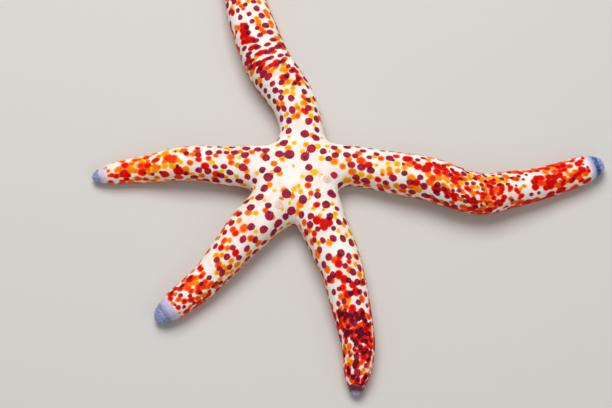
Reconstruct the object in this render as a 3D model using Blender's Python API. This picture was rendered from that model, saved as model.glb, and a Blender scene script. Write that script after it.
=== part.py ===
"""Life-size starfish of the slender Linckia kind, lying flat with its five unequal arms bent.

The body is one form: five tubes that run out from the middle of the disc and flow together
there. It is parted with thin upright cuts into the disc, two or three lengths of each arm and
a terminal plate at each tip. Tube feet with suckers stand in the furrow under each arm, spines
guard the mouth, and two sieve plates (madreporites) sit in pockets of the disc. Lengths are in
millimetres here and become metres when a mesh is made.
"""

import math
import random

import bmesh
import bpy
import numpy as np
from mathutils import Matrix, Vector

MM = 0.001

# Middle of the disc in the frame, whose origin lies under the middle of the whole animal
DISC_X = -12.40
DISC_Y = -6.77

# Headings are read every HEADING_STEP along an arm and widths every WIDTH_STEP, both from the
# disc's middle, where all arms have one width out to ROOT_REACH; the widths are then evened out
# over WIDTH_SPREAD. The middle line and the widths are worked out every AXIS_STEP
HEADING_STEP = 6.0
WIDTH_STEP = 15.0
ROOT_WIDTH = 10.2
ROOT_REACH = 4.0
WIDTH_SPREAD = 8.0
AXIS_STEP = 0.25

# Each arm, anticlockwise from the one that points away: its bearing in the disc, its headings in
# degrees, its widths, its length, how high it arches off the floor, the cuts across it, and the
# bearing and reach of the notch that follows it
ARMS = {
    "back": {
        "bearing": 80,
        "headings": (94, 110, 124, 122, 108, 109, 104, 103, 107, 112, 114),
        "widths": (10.2, 11.6, 10.9, 9.0, 6.6),
        "length": 70.0,
        "arch": 0.8,
        "cuts": (12.8, 32.0, 51.0),
        "notch": 126,
        "notch_reach": 9.8,
    },
    "left": {
        "bearing": 163,
        "headings": (178, 175, 181, 183, 185, 190, 187, 183),
        "widths": (9.5, 7.6, 4.9, 3.0),
        "length": 48.9,
        "arch": 1.1,
        "cuts": (12.8, 31.0),
        "notch": 199,
        "notch_reach": 10.7,
    },
    "front_left": {
        "bearing": 237,
        "headings": (224, 230, 233, 230, 221, 219, 217),
        "widths": (10.9, 7.7, 6.2, 4.6),
        "length": 47.5,
        "arch": 0.5,
        "cuts": (12.8, 30.0),
        "notch": 263,
        "notch_reach": 11.7,
    },
    "front": {
        "bearing": 305,
        "headings": (284, 293, 288, 282, 282, 279, 264, 266, 267),
        "widths": (11.1, 9.5, 7.7, 3.8),
        "length": 55.4,
        "arch": 0.6,
        "cuts": (12.8, 28.0, 43.0),
        "notch": 344,
        "notch_reach": 10.6,
    },
    "right": {
        "bearing": 20,
        "headings": (-1, -14, -12, -13, -24, -15, 16, 13, 18, 20, 20, 8),
        "widths": (9.2, 10.4, 9.7, 7.6, 6.3),
        "length": 76.0,
        "arch": 0.9,
        "cuts": (12.8, 34.0, 55.0),
        "notch": 410,
        "notch_reach": 11.6,
    },
}

# Section of an arm: its height and the height of its widest line as shares of its width, and how
# square it is
HEIGHT_SHARE = 0.86
AXIS_SHARE = 0.41
SQUARENESS = 2.25

# The underside would reach this far below the floor, less where an arm is slimmer than
# FLAT_WIDTH; cut off level, it leaves the flats it rests on
FLAT_DEPTH = 0.4
FLAT_WIDTH = 4.0

# Rounded end of an arm, and how far the tip turns up. An arm arches off the floor from ARCH_START
# along it to ARCH_STOP short of its end, where the tip begins to turn up
TIP_LENGTH = 7.0
TIP_RISE = 1.3
ARCH_START = 15.0
ARCH_STOP = 11.0

# Disc: how softly the arms run together, and how far its top is held down in the middle
WEB = 1.7
DISC_SINK = 0.38
DISC_SINK_REACH = 7.5

# Arms are solved together with their neighbours out to JOINED_REACH, with their middle lines a
# little farther. The surface is looked for between two shares of a ray, halved SOLVE_STEPS times
JOINED_REACH = 26.0
JOINED_SPARE = 12.0
RAY_SHARES = (0.2, 3.0)
SOLVE_STEPS = 22

# Furrow under each arm, the mouth, and how far the underside is drawn up round the mouth
FURROW_HALF_WIDTH = 1.4
FURROW_DEPTH = 1.5
MOUTH_DEPTH = 2.4
MOUTH_REACH = 3.2
MOUTH_RISE = 0.9
MOUTH_RISE_REACH = 7.0

# Tube feet: pairs along the furrow, with a stalk that hangs from its roof and a sucker at the end
FOOT_STEP = 3.3
FOOT_FIRST = 3.6
FOOT_ASIDE = 0.66
FOOT_ROOT = 0.5
FOOT_CLEAR = 0.25
FOOT_NECK = 0.4
STALK_RADIUS = 0.3
STALK_LEAST = 0.25
SUCKER_RADIUS = 0.48
SUCKER_LEAST = 0.32
FOOT_SIDES = 6
FOOT_SWAY = 0.16
FOOT_SEED = 7

# Spines beside the mouth, a pair on each of the five jaws, leaning over it
SPINE_DISTANCE = 2.5
SPINE_ASIDE = 0.36
SPINE_RADIUS = 0.27
SPINE_TAPER = 0.4
SPINE_LEAN = 0.7
SPINE_TIP = 0.2
SPINE_SIDES = 5

# Width at which an arm has its furrow and feet in full
FULL_WIDTH = 9.0

# Gap between neighbouring parts, and the angle past which an edge is shaded as a sharp one
GAP = 0.3
SHARP_ANGLE = 50.0

# Terminal plate: length of the end of the arm that it takes up, its rings and its columns
TERMINAL_LENGTH = 1.6
TERMINAL_RINGS = 4
TERMINAL_COLUMNS = 12

# Sieve plates: bearing and distance from the middle of the disc, and the size of a plate
SIEVES = ((340, 7.5), (247, 9.9))
SIEVE_RADIUS = 1.1
SIEVE_RISE = 0.2
SIEVE_DOME = 0.25
SIEVE_SEAT = 0.9
SIEVE_SHOULDER = 0.7
SIEVE_CROWN = 0.3
SIEVE_SIDES = 14

# Heights between which the disc's upper side is looked for, and the span its slope is read over
DISC_HEIGHTS = (2.0, 14.0)
SLOPE_SPAN = 1.0

# Spacing of the rings along an arm, and the columns around it: one every few degrees from
# FIRST_COLUMN (0 is straight down), and below that some at shares of the furrow's half width and
# one at the edge of the flat
RING_STEP = 1.6
COLUMNS = 17
FIRST_COLUMN = 48.0
FURROW_COLUMNS = (0.0, 0.6, 1.0)
FLAT_EDGE = 2.2

SKIN_COLOURS = {
    "disc": (0.93, 0.80, 0.76),
    "base": (0.86, 0.62, 0.56),
    "middle": (0.84, 0.50, 0.42),
    "outer": (0.82, 0.40, 0.30),
}
TERMINAL_COLOUR = (0.62, 0.60, 0.78)
SIEVE_COLOUR = (0.88, 0.66, 0.64)
SKIN_ROUGHNESS = 0.5
TERMINAL_ROUGHNESS = 0.45
SIEVE_ROUGHNESS = 0.6


def clear_scene():
    for thing in list(bpy.data.objects):
        bpy.data.objects.remove(thing, do_unlink=True)


def axis_of(arm):
    """Points of an arm's middle line with headings, from its table of headings by adding up steps."""
    lengths = np.arange(0.0, arm["length"] + AXIS_STEP, AXIS_STEP)
    stations = [0.0, HEADING_STEP]
    headings = [arm["bearing"], arm["bearing"]]
    for index, heading in enumerate(arm["headings"]):
        stations.append(HEADING_STEP * (index + 2))
        headings.append(heading)
    angles = np.radians(np.interp(lengths, stations, headings))
    middles = (angles[1:] + angles[:-1]) / 2
    x = np.concatenate([[0.0], np.cumsum(np.cos(middles) * AXIS_STEP)])
    y = np.concatenate([[0.0], np.cumsum(np.sin(middles) * AXIS_STEP)])
    return lengths, x, y, angles


def widths_of(arm, lengths):
    """Width along an arm: its table, evened out, times an ellipse over the rounded end."""
    spare = WIDTH_SPREAD / 2
    fine = np.arange(-spare, arm["length"] + spare + AXIS_STEP, AXIS_STEP)
    stations = [ROOT_REACH] + [WIDTH_STEP * (index + 1) for index in range(len(arm["widths"]))]
    table = np.interp(fine, stations, (ROOT_WIDTH, *arm["widths"]))
    spread = int(WIDTH_SPREAD / AXIS_STEP) + 1
    table = np.convolve(table, np.ones(spread) / spread, mode="same")
    width = np.interp(lengths, fine, table)
    left = np.clip((arm["length"] - lengths) / TIP_LENGTH, 0.0, 1.0)
    return width * np.sqrt(1.0 - (1.0 - left) ** 2)


def lift_of(arm, lengths):
    """Height of the underside: an arch of one sine wave between disc and tip, and the upturned tip."""
    last = arm["length"] - ARCH_STOP
    along = np.clip((lengths - ARCH_START) / (last - ARCH_START), 0.0, 1.0)
    arch = arm["arch"] * np.sin(math.pi * along) ** 2
    past = np.clip((lengths - last) / (arm["length"] - last), 0.0, 1.0)
    return arch + TIP_RISE * past**2


def section_of(arm, lengths):
    """Half width, height of the axis, and the reach above and below it."""
    width = widths_of(arm, lengths)
    axis = width * AXIS_SHARE
    above = width * (HEIGHT_SHARE - AXIS_SHARE)
    below = axis + FLAT_DEPTH * np.clip(width / FLAT_WIDTH, 0.0, 1.0)
    return width / 2, axis + lift_of(arm, lengths), above, below


def tube(arm, points):
    """How far points lie outside one arm: the superellipse of the nearest section, less one,
    times its half width."""
    lengths, x, y, _ = arm["axis"]
    near = slice(0, int((JOINED_REACH + JOINED_SPARE) / AXIS_STEP), 2)
    off = np.hypot(points[:, None, 0] - x[near], points[:, None, 1] - y[near])
    nearest = np.argmin(off, axis=1)
    side = off[np.arange(len(points)), nearest]
    half, axis, above, below = section_of(arm, lengths[near][nearest])
    middle = np.hypot(points[:, 0], points[:, 1])
    above = above * (1.0 - DISC_SINK * np.exp(-((middle / DISC_SINK_REACH) ** 2)))
    height = points[:, 2] - axis
    reach = np.where(height > 0, above, below)
    sum_of = (side / half) ** SQUARENESS + (np.abs(height) / reach) ** SQUARENESS
    return (sum_of ** (1 / SQUARENESS) - 1.0) * half


def outside(points):
    """The five tubes run together: a soft minimum of how far points lie outside each."""
    total = np.zeros(len(points))
    for arm in ARMS.values():
        total += np.exp(-tube(arm, points) / WEB)
    return -WEB * np.log(total)


def reach_along(starts, rays):
    """Share of each ray at which it leaves the body, by halving."""
    low = np.full(len(starts), RAY_SHARES[0])
    high = np.full(len(starts), RAY_SHARES[1])
    for _ in range(SOLVE_STEPS):
        middle = (low + high) / 2
        inside = outside(starts + rays * middle[:, None]) < 0
        low = np.where(inside, middle, low)
        high = np.where(inside, high, middle)
    return (low + high) / 2


def side_rays(arm, position, side):
    """Level ray from the axis to one side (1 left, -1 right) at a length: square to the arm
    beyond the root ring, and turned towards the notch nearer the middle of the disc."""
    lengths, x, y, angles = arm["axis"]
    root = arm["cuts"][0]
    start = np.array([np.interp(position, lengths, x), np.interp(position, lengths, y)])
    at = max(position, root)
    heading = np.interp(at, lengths, angles) + side * math.pi / 2
    half = section_of(arm, np.array([at]))[0][0]
    square = np.array([math.cos(heading), math.sin(heading)]) * half
    if position >= root:
        return start, square
    foot = np.array([np.interp(root, lengths, x), np.interp(root, lengths, y)])
    bearing, reach = arm["notches"][side]
    notch = np.array([math.cos(bearing), math.sin(bearing)]) * reach
    share = position / root
    return start, notch * (1 - share) + (foot + square) * share - start


def column_rays():
    """Columns of a ring, up its left side and down its right: each with its distance across the
    underside, or its angle from straight down."""
    left = [("across", share * FURROW_HALF_WIDTH) for share in FURROW_COLUMNS]
    left.append(("across", FLAT_EDGE))
    angles = np.linspace(FIRST_COLUMN, 360.0 - FIRST_COLUMN, COLUMNS)
    right = [(kind, -distance) for kind, distance in reversed(left[1:])]
    return left + [("round", math.radians(angle)) for angle in angles] + right


def narrowing(half):
    """How much slimmer than a full arm the furrow, its edges and its feet are."""
    return np.minimum(1.0, 2 * half / FULL_WIDTH)


def floor_at(arm, position, points):
    """Level of the underside: the arm's lift, and the rise round the mouth, a cosine squared."""
    middle = np.hypot(points[:, 0], points[:, 1]) / MOUTH_RISE_REACH
    rise = np.cos(np.minimum(middle, 1.0) * math.pi / 2) ** 2
    return lift_of(arm, np.array([position]))[0] + MOUTH_RISE * rise


def furrow_roof(arm, position, aside):
    """Height of the furrow's roof over the underside, aside of its middle: half an ellipse across,
    even along the arm, lower at its tip and higher at the mouth."""
    slim = narrowing(section_of(arm, np.array([position]))[0][0])
    depth = FURROW_DEPTH * slim + (MOUTH_DEPTH - FURROW_DEPTH) * math.exp(-((position / MOUTH_REACH) ** 2))
    return depth * np.sqrt(np.maximum(1.0 - (aside / (FURROW_HALF_WIDTH * slim)) ** 2, 0.0))


def ring_rays(arm, position):
    """Start of a ring's rays on the axis, and a ray for each column that ends near the surface."""
    half, axis, above, below = (v[0] for v in section_of(arm, np.array([position])))
    sides = {side: side_rays(arm, position, side) for side in (1, -1)}
    rays = []
    for kind, value in arm["columns"]:
        across = value if kind == "across" else math.sin(value)
        start, level = sides[1 if across >= 0 else -1]
        if kind == "across":
            level = level / np.linalg.norm(level) * abs(value) * narrowing(half)
            upright = -below
        else:
            level = level * abs(across)
            upright = -math.cos(value)
            upright *= above if upright > 0 else below
        rays.append((level[0], level[1], upright))
    return np.array([start[0], start[1], axis]), np.array(rays)


def ring(arm, position):
    """Points of one ring round an arm, each at the end of its ray or on the level underside."""
    start, rays = ring_rays(arm, position)
    starts = np.tile(start, (len(rays), 1))
    if position < JOINED_REACH:
        share = reach_along(starts, rays)
    else:
        half, _, above, below = (v[0] for v in section_of(arm, np.array([position])))
        level = np.hypot(rays[:, 0], rays[:, 1]) / half
        upright = np.abs(rays[:, 2]) / np.where(rays[:, 2] > 0, above, below)
        share = (level**SQUARENESS + upright**SQUARENESS) ** (-1 / SQUARENESS)
    points = starts + rays * share[:, None]
    floor = floor_at(arm, position, points)
    points[:, 2] = np.maximum(points[:, 2], floor)
    slim = narrowing(section_of(arm, np.array([position]))[0][0])
    for index, (kind, value) in enumerate(arm["columns"]):
        if kind == "across":
            points[index, 2] = floor[index] + furrow_roof(arm, position, abs(value) * slim)
    return points


def placed(points):
    return [((p[0] + DISC_X) * MM, (p[1] + DISC_Y) * MM, p[2] * MM) for p in points]


def material(name, colour, roughness):
    made = bpy.data.materials.new(name)
    made.use_nodes = True
    shader = made.node_tree.nodes["Principled BSDF"]
    shader.inputs["Base Color"].default_value = (*colour, 1.0)
    shader.inputs["Roughness"].default_value = roughness
    shader.inputs["Metallic"].default_value = 0.0
    return made


def outward(mesh):
    """Merge what coincides, turn every face outward and shade it smooth."""
    form = bmesh.new()
    form.from_mesh(mesh)
    bmesh.ops.remove_doubles(form, verts=form.verts, dist=0.00001)
    bmesh.ops.recalc_face_normals(form, faces=form.faces)
    for face in form.faces:
        face.smooth = True
    form.to_mesh(mesh)
    form.free()
    mesh.set_sharp_from_angle(angle=math.radians(SHARP_ANGLE))


def finish(name, mesh, look):
    """Make a mesh an object of the scene with its material."""
    mesh.name = name
    outward(mesh)
    made = bpy.data.objects.new(name, mesh)
    bpy.context.scene.collection.objects.link(made)
    mesh.materials.append(look)
    return made


def strip(first, count, rings):
    """Faces between rings of count points that follow each other from index first."""
    faces = []
    for row in range(rings - 1):
        here = first + row * count
        for column in range(count):
            beside = (column + 1) % count
            faces.append((here + column, here + beside, here + count + beside, here + count + column))
    return faces


def stations_between(first, last, step):
    return np.linspace(first, last, max(2, int(round((last - first) / step)) + 1))


def fuse(node, pieces):
    """Join closed pieces to a node with one Boolean union, and keep its largest closed surface."""
    group = bpy.data.collections.new(node.name + "_pieces")
    bpy.context.scene.collection.children.link(group)
    for index, mesh in enumerate(pieces):
        group.objects.link(bpy.data.objects.new("%s_piece_%d" % (node.name, index), mesh))
    union = node.modifiers.new("pieces", "BOOLEAN")
    union.operation = "UNION"
    union.solver = "EXACT"
    union.operand_type = "COLLECTION"
    union.collection = group
    bpy.context.view_layer.update()
    graph = bpy.context.evaluated_depsgraph_get()
    fused = bpy.data.meshes.new_from_object(node.evaluated_get(graph))
    node.modifiers.clear()
    node.data = fused
    fused.set_sharp_from_angle(angle=math.radians(SHARP_ANGLE))
    for thing in list(group.objects):
        bpy.data.objects.remove(thing, do_unlink=True)
    bpy.data.collections.remove(group)
    keep_largest(fused)


def keep_largest(mesh):
    """Delete every closed surface of a mesh but the one with the most faces."""
    form = bmesh.new()
    form.from_mesh(mesh)
    form.faces.ensure_lookup_table()
    unseen = set(form.faces)
    bodies = []
    while unseen:
        body = []
        front = [unseen.pop()]
        while front:
            face = front.pop()
            body.append(face)
            for edge in face.edges:
                for other in edge.link_faces:
                    if other in unseen:
                        unseen.remove(other)
                        front.append(other)
        bodies.append(body)
    bodies.sort(key=len)
    for body in bodies[:-1]:
        bmesh.ops.delete(form, geom=body, context="FACES")
    form.to_mesh(mesh)
    form.free()


def turned(name, rings, sides):
    """A closed round form through rings given as (x, y, z, radius), the first and last capped."""
    points = []
    for x, y, z, radius in rings:
        for index in range(sides):
            angle = 2 * math.pi * index / sides
            points.append((x + radius * math.cos(angle), y + radius * math.sin(angle), z))
    faces = strip(0, sides, len(rings))
    faces.append(tuple(range(sides)))
    faces.append(tuple(range((len(rings) - 1) * sides, len(rings) * sides)))
    mesh = bpy.data.meshes.new(name)
    mesh.from_pydata(placed(points), [], faces)
    outward(mesh)
    return mesh


def tube_feet(arm, first, last):
    """Pairs of tube feet between two lengths of an arm. Each hangs from the furrow's roof and
    sways a little as it is drawn, and both get slimmer with the furrow towards the tip."""
    draw = random.Random(FOOT_SEED + int(first * 10) + arm["bearing"])
    feet = []
    lengths, x, y, angles = arm["axis"]
    count = max(1, int((last - first) / FOOT_STEP))
    for index in range(count):
        position = first + (last - first) * (index + 0.5) / count
        slim = narrowing(section_of(arm, np.array([position]))[0][0])
        for side in (1, -1):
            at = position + draw.uniform(-FOOT_SWAY, FOOT_SWAY)
            heading = np.interp(at, lengths, angles) + side * math.pi / 2
            aside = FOOT_ASIDE * slim
            foot = np.array([[np.interp(at, lengths, x), np.interp(at, lengths, y), 0.0]])
            foot[0, :2] += np.array([math.cos(heading), math.sin(heading)]) * aside
            floor = floor_at(arm, at, foot)[0]
            roof = floor + furrow_roof(arm, at, aside)
            end = foot[0, :2] + np.array([draw.uniform(-FOOT_SWAY, FOOT_SWAY) for _ in range(2)])
            stalk = max(STALK_RADIUS * slim, STALK_LEAST)
            low = floor + FOOT_CLEAR
            rings = (
                (foot[0, 0], foot[0, 1], roof + FOOT_ROOT, stalk),
                (end[0], end[1], low + FOOT_NECK * slim, stalk),
                (end[0], end[1], low, max(SUCKER_RADIUS * slim, SUCKER_LEAST)),
            )
            feet.append(turned("foot", rings, FOOT_SIDES))
    return feet


def mouth_spines():
    """A pair of spines on each jaw, between two furrows, leaning towards the mouth."""
    spines = []
    for arm in ARMS.values():
        bearing = arm["notches"][1][0]
        inward = -np.array([math.cos(bearing), math.sin(bearing)])
        across = np.array([-inward[1], inward[0]])
        for side in (1, -1):
            root = -inward * SPINE_DISTANCE + across * side * SPINE_ASIDE
            tip = root + inward * SPINE_LEAN
            floor = floor_at(arm, 0.0, np.array([[root[0], root[1], 0.0]]))[0]
            rings = (
                (root[0], root[1], floor + FOOT_ROOT, SPINE_RADIUS),
                (tip[0], tip[1], SPINE_TIP, SPINE_RADIUS * SPINE_TAPER),
            )
            spines.append(turned("spine", rings, SPINE_SIDES))
    return spines


def length_node(name, arm, first, last, look):
    """A length of arm between two cuts, closed with a flat face at both ends, with its feet."""
    stations = stations_between(first, last, RING_STEP)
    points = np.concatenate([ring(arm, at) for at in stations])
    count = len(arm["columns"])
    faces = strip(0, count, len(stations))
    faces.append(tuple(range(count)))
    faces.append(tuple(range((len(stations) - 1) * count, len(stations) * count)))
    mesh = bpy.data.meshes.new(name)
    mesh.from_pydata(placed(points), [], faces)
    node = finish(name, mesh, look)
    fuse(node, tube_feet(arm, first + SUCKER_RADIUS, last - SUCKER_RADIUS))
    return node


def tip_node(name, arm, first, look):
    """Terminal plate: the rounded last bit of an arm, without a furrow."""
    total = arm["length"]
    turns = np.linspace(0.0, 1.0, TERMINAL_RINGS + 1)[:-1]
    stations = first + (total - first) * np.sin(turns * math.pi / 2)
    count = TERMINAL_COLUMNS
    rows = []
    for position in stations:
        half, axis, above, below = (v[0] for v in section_of(arm, np.array([position])))
        start, level = side_rays(arm, position, 1)
        floor = axis - half * 2 * AXIS_SHARE
        for column in range(count):
            angle = 2 * math.pi * column / count
            upright = -math.cos(angle)
            height = axis + upright * (above if upright > 0 else below)
            flat = start + level * math.sin(angle)
            rows.append((flat[0], flat[1], max(height, floor)))
    end, _ = side_rays(arm, total, 1)
    height = section_of(arm, np.array([total]))[1][0]
    rows.append((end[0], end[1], height))
    faces = strip(0, count, len(stations))
    faces.append(tuple(range(count)))
    last = (len(stations) - 1) * count
    for column in range(count):
        faces.append((last + column, last + (column + 1) % count, len(rows) - 1))
    mesh = bpy.data.meshes.new(name)
    mesh.from_pydata(placed(rows), [], faces)
    return finish(name, mesh, look)


def disc_node(look):
    """The disc: the five roots from the middle out to their cuts, each closed with a flat face,
    with their feet and the mouth's spines."""
    points = []
    faces = []
    pieces = mouth_spines()
    for arm in ARMS.values():
        edge = arm["cuts"][0] - GAP / 2
        stations = stations_between(0.0, edge, RING_STEP)
        first = len(points)
        for position in stations:
            points.extend(ring(arm, position))
        count = len(arm["columns"])
        faces.extend(strip(first, count, len(stations)))
        last = first + (len(stations) - 1) * count
        faces.append(tuple(range(last, last + count)))
        pieces.extend(tube_feet(arm, FOOT_FIRST, edge - SUCKER_RADIUS))
    mesh = bpy.data.meshes.new("disc")
    mesh.from_pydata(placed(points), [], faces)
    disc = finish("disc", mesh, look)
    fuse(disc, pieces)
    return disc


def disc_top(x, y):
    """Height of the disc's upper side at a point, by halving an upright line."""
    low, high = DISC_HEIGHTS
    for _ in range(SOLVE_STEPS):
        middle = (low + high) / 2
        if outside(np.array([[x, y, middle]]))[0] < 0:
            low = middle
        else:
            high = middle
    return (low + high) / 2


def disc_lean(x, y):
    """Turn from straight up to the disc's own slope at a point, read from heights either side."""
    half = SLOPE_SPAN / 2
    slope_x = disc_top(x + half, y) - disc_top(x - half, y)
    slope_y = disc_top(x, y + half) - disc_top(x, y - half)
    return Vector((0, 0, 1)).rotation_difference(Vector((-slope_x, -slope_y, SLOPE_SPAN)))


def seated(name, rings, seat, lean):
    """A round form through (height, radius) rings about an axis that leans as the disc does there."""
    mesh = turned(name, [(-DISC_X, -DISC_Y, height, radius) for height, radius in rings], SIEVE_SIDES)
    place = Matrix.Translation(Vector(placed([seat])[0])) @ lean.to_matrix().to_4x4()
    mesh.transform(place)
    return mesh


def sieve_nodes(disc, look):
    """Each sieve plate, domed, in a round pocket cut into the disc round it."""
    for index, (bearing, distance) in enumerate(SIEVES):
        angle = math.radians(bearing)
        x = distance * math.cos(angle)
        y = distance * math.sin(angle)
        seat = (x, y, disc_top(x, y))
        lean = disc_lean(x, y)
        name = "sieve_plate_%d" % (index + 1)
        wide = SIEVE_RADIUS + GAP
        pocket = seated(name + "_pocket", ((-SIEVE_SEAT, wide), (SIEVE_SEAT, wide)), seat, lean)
        cutter = finish(name + "_pocket", pocket, look)
        cutter.hide_render = True
        cutter.display_type = "WIRE"
        cut = disc.modifiers.new(name + "_pocket", "BOOLEAN")
        cut.operation = "DIFFERENCE"
        cut.solver = "EXACT"
        cut.object = cutter
        rings = (
            (GAP - SIEVE_SEAT, SIEVE_RADIUS),
            (SIEVE_RISE - SIEVE_DOME, SIEVE_RADIUS),
            (SIEVE_RISE - SIEVE_DOME * SIEVE_CROWN, SIEVE_RADIUS * SIEVE_SHOULDER),
            (SIEVE_RISE, SIEVE_RADIUS * SIEVE_CROWN),
        )
        finish(name, seated(name, rings, seat, lean), look)


def prepare_arms():
    """Axis, columns and the notch at either side of every arm."""
    names = list(ARMS)
    for index, name in enumerate(names):
        arm = ARMS[name]
        before = ARMS[names[index - 1]]
        arm["axis"] = axis_of(arm)
        arm["columns"] = column_rays()
        arm["notches"] = {
            1: (math.radians(arm["notch"]), arm["notch_reach"]),
            -1: (math.radians(before["notch"]), before["notch_reach"]),
        }


def main():
    clear_scene()
    prepare_arms()
    looks = {}
    for kind, colour in SKIN_COLOURS.items():
        looks[kind] = material("skin_" + kind, colour, SKIN_ROUGHNESS)
    terminal_look = material("terminal_plate", TERMINAL_COLOUR, TERMINAL_ROUGHNESS)
    sieve_look = material("sieve_plate", SIEVE_COLOUR, SIEVE_ROUGHNESS)
    disc = disc_node(looks["disc"])
    sieve_nodes(disc, sieve_look)
    for name, arm in ARMS.items():
        bounds = list(arm["cuts"]) + [arm["length"] - TERMINAL_LENGTH]
        parts = ("base", "middle", "outer") if len(bounds) == 4 else ("base", "outer")
        for index, part in enumerate(parts):
            first = bounds[index] + GAP / 2
            last = bounds[index + 1] - GAP / 2
            length_node("arm_%s_%s" % (name, part), arm, first, last, looks[part])
        tip_node("terminal_plate_" + name, arm, arm["length"] - TERMINAL_LENGTH + GAP / 2, terminal_look)


main()
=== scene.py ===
"""Looks of a life-size many-coloured starfish of the slender Linckia kind: one speckled skin over
disc and arms, a plate at the tip of each arm, two sieve plates on the disc, and below them the tube
feet, the spines along the furrows and the mouth. Lengths are in millimetres until a mesh is made."""

import math

import bpy
import numpy as np
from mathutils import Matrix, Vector


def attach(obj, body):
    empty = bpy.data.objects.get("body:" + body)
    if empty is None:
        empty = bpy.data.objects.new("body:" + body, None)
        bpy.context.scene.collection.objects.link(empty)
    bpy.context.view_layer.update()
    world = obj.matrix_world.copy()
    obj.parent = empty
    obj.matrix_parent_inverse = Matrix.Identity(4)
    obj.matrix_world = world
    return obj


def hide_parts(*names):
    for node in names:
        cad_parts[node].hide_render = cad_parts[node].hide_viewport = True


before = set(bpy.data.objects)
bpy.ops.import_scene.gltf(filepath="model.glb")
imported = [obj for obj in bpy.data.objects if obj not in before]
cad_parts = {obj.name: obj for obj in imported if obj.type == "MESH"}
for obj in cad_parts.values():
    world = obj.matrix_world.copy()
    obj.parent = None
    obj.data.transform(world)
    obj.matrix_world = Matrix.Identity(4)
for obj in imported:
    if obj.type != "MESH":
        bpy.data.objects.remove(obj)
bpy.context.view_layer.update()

# The skin
# The real one is a firm hide over a net of small limy plates, covered all over with granules. It
# is one closed form here: five tubes that run out from the middle of the disc and flow together,
# with a furrow below each, laid with low plates and pressed into folds where an arm bends.

MM = 0.001
TINY = 1e-9

# The disc's middle in the model's frame, and the steps along an arm at which its headings and its
# widths are given. Its middle line is added up in finer steps, and widths are evened out over 8 mm
DISC_X = -12.40
DISC_Y = -6.77
HEADING_STEP = 6.0
WIDTH_STEP = 15.0
AXIS_STEP = 0.25
WIDTH_SPREAD = 8.0
ROOT_WIDTH = 10.2
ROOT_REACH = 4.0

# Each arm, anticlockwise from the one that points away: its bearing in the disc, its headings in
# degrees, its widths, its length, how high it arches, and the bearing and reach of the notch that
# follows it
ARMS = {
    "back": {
        "bearing": 80,
        "headings": (94, 110, 124, 122, 108, 109, 104, 103, 107, 112, 114),
        "widths": (10.2, 11.6, 10.9, 9.0, 6.6),
        "length": 70.0,
        "arch": 0.8,
        "notch": 126,
        "notch_reach": 9.8,
    },
    "left": {
        "bearing": 163,
        "headings": (178, 175, 181, 183, 185, 190, 187, 183),
        "widths": (9.5, 7.6, 4.9, 3.0),
        "length": 48.9,
        "arch": 1.1,
        "notch": 199,
        "notch_reach": 10.7,
    },
    "front_left": {
        "bearing": 237,
        "headings": (224, 230, 233, 230, 221, 219, 217),
        "widths": (10.9, 7.7, 6.2, 4.6),
        "length": 47.5,
        "arch": 0.5,
        "notch": 263,
        "notch_reach": 11.7,
    },
    "front": {
        "bearing": 305,
        "headings": (284, 293, 288, 282, 282, 279, 264, 266, 267),
        "widths": (11.1, 9.5, 7.7, 3.8),
        "length": 55.4,
        "arch": 0.6,
        "notch": 344,
        "notch_reach": 10.6,
    },
    "right": {
        "bearing": 20,
        "headings": (-1, -14, -12, -13, -24, -15, 16, 13, 18, 20, 20, 8),
        "widths": (9.2, 10.4, 9.7, 7.6, 6.3),
        "length": 76.0,
        "arch": 0.9,
        "notch": 410,
        "notch_reach": 11.6,
    },
}
ROOT_LENGTH = 12.8
TERMINAL_LENGTH = 1.6

# Section of an arm: its height and the height of its axis as shares of its width, the power of its
# superellipse, and how deep below the floor it would reach, in full from a width of 4 mm
HEIGHT_SHARE = 0.86
AXIS_SHARE = 0.41
SQUARENESS = 2.25
FLAT_DEPTH = 0.4
FLAT_WIDTH = 4.0

# An arm's rounded end and how far it turns up, and where its arch starts, and stops before the end
TIP_LENGTH = 7.0
TIP_RISE = 1.3
ARCH_START = 15.0
ARCH_STOP = 11.0

# How softly the arms run together, how far the disc's middle sinks between them, the length of arm
# that takes part, and how rays are followed to where they leave the body
WEB = 1.7
DISC_SINK = 0.38
DISC_SINK_REACH = 7.5
JOINED_REACH = 26.0
JOINED_SPARE = 12.0
COARSE_STEPS = 4
RAY_SHARES = (0.2, 3.0)
SOLVE_STEPS = 15

# The furrow below an arm that is 9 mm wide or more, the mouth pit where the furrows meet, and the
# rounding of the edge of the flat underside
FULL_WIDTH = 9.0
FURROW_HALF_WIDTH = 1.4
FURROW_DEPTH = 1.5
FURROW_LEAST = 0.05
MOUTH_DEPTH = 2.4
MOUTH_REACH = 3.2
MOUTH_RISE = 0.9
MOUTH_RISE_REACH = 7.0
UNDERSIDE_ROUNDING = 0.22

# Rings along an arm, and columns around it: some at distances from the middle of the underside,
# and the rest every few degrees from FIRST_TURN from straight down
RING_STEP = 0.345
ACROSS = (0.0, 0.25, 0.5, 0.75, 0.97, 1.15, 1.28, 1.36, 1.4, 1.47, 1.7, 2.0)
FIRST_TURN = 30.0
ROUND_COLUMNS = 83

# Stands for any distance too long to count
BEYOND = 99.0


def axis_of(arm):
    """Points of an arm's middle line with headings, from its table of headings by adding up steps."""
    lengths = np.arange(0.0, arm["length"] + AXIS_STEP, AXIS_STEP)
    count = len(arm["headings"])
    stations = [0.0] + [HEADING_STEP * (index + 1) for index in range(count + 1)]
    headings = (arm["bearing"], arm["bearing"], *arm["headings"])
    angles = np.radians(np.interp(lengths, stations, headings))
    middles = (angles[1:] + angles[:-1]) / 2
    x = np.concatenate([[0.0], np.cumsum(np.cos(middles) * AXIS_STEP)])
    y = np.concatenate([[0.0], np.cumsum(np.sin(middles) * AXIS_STEP)])
    return lengths, x, y, angles


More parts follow.
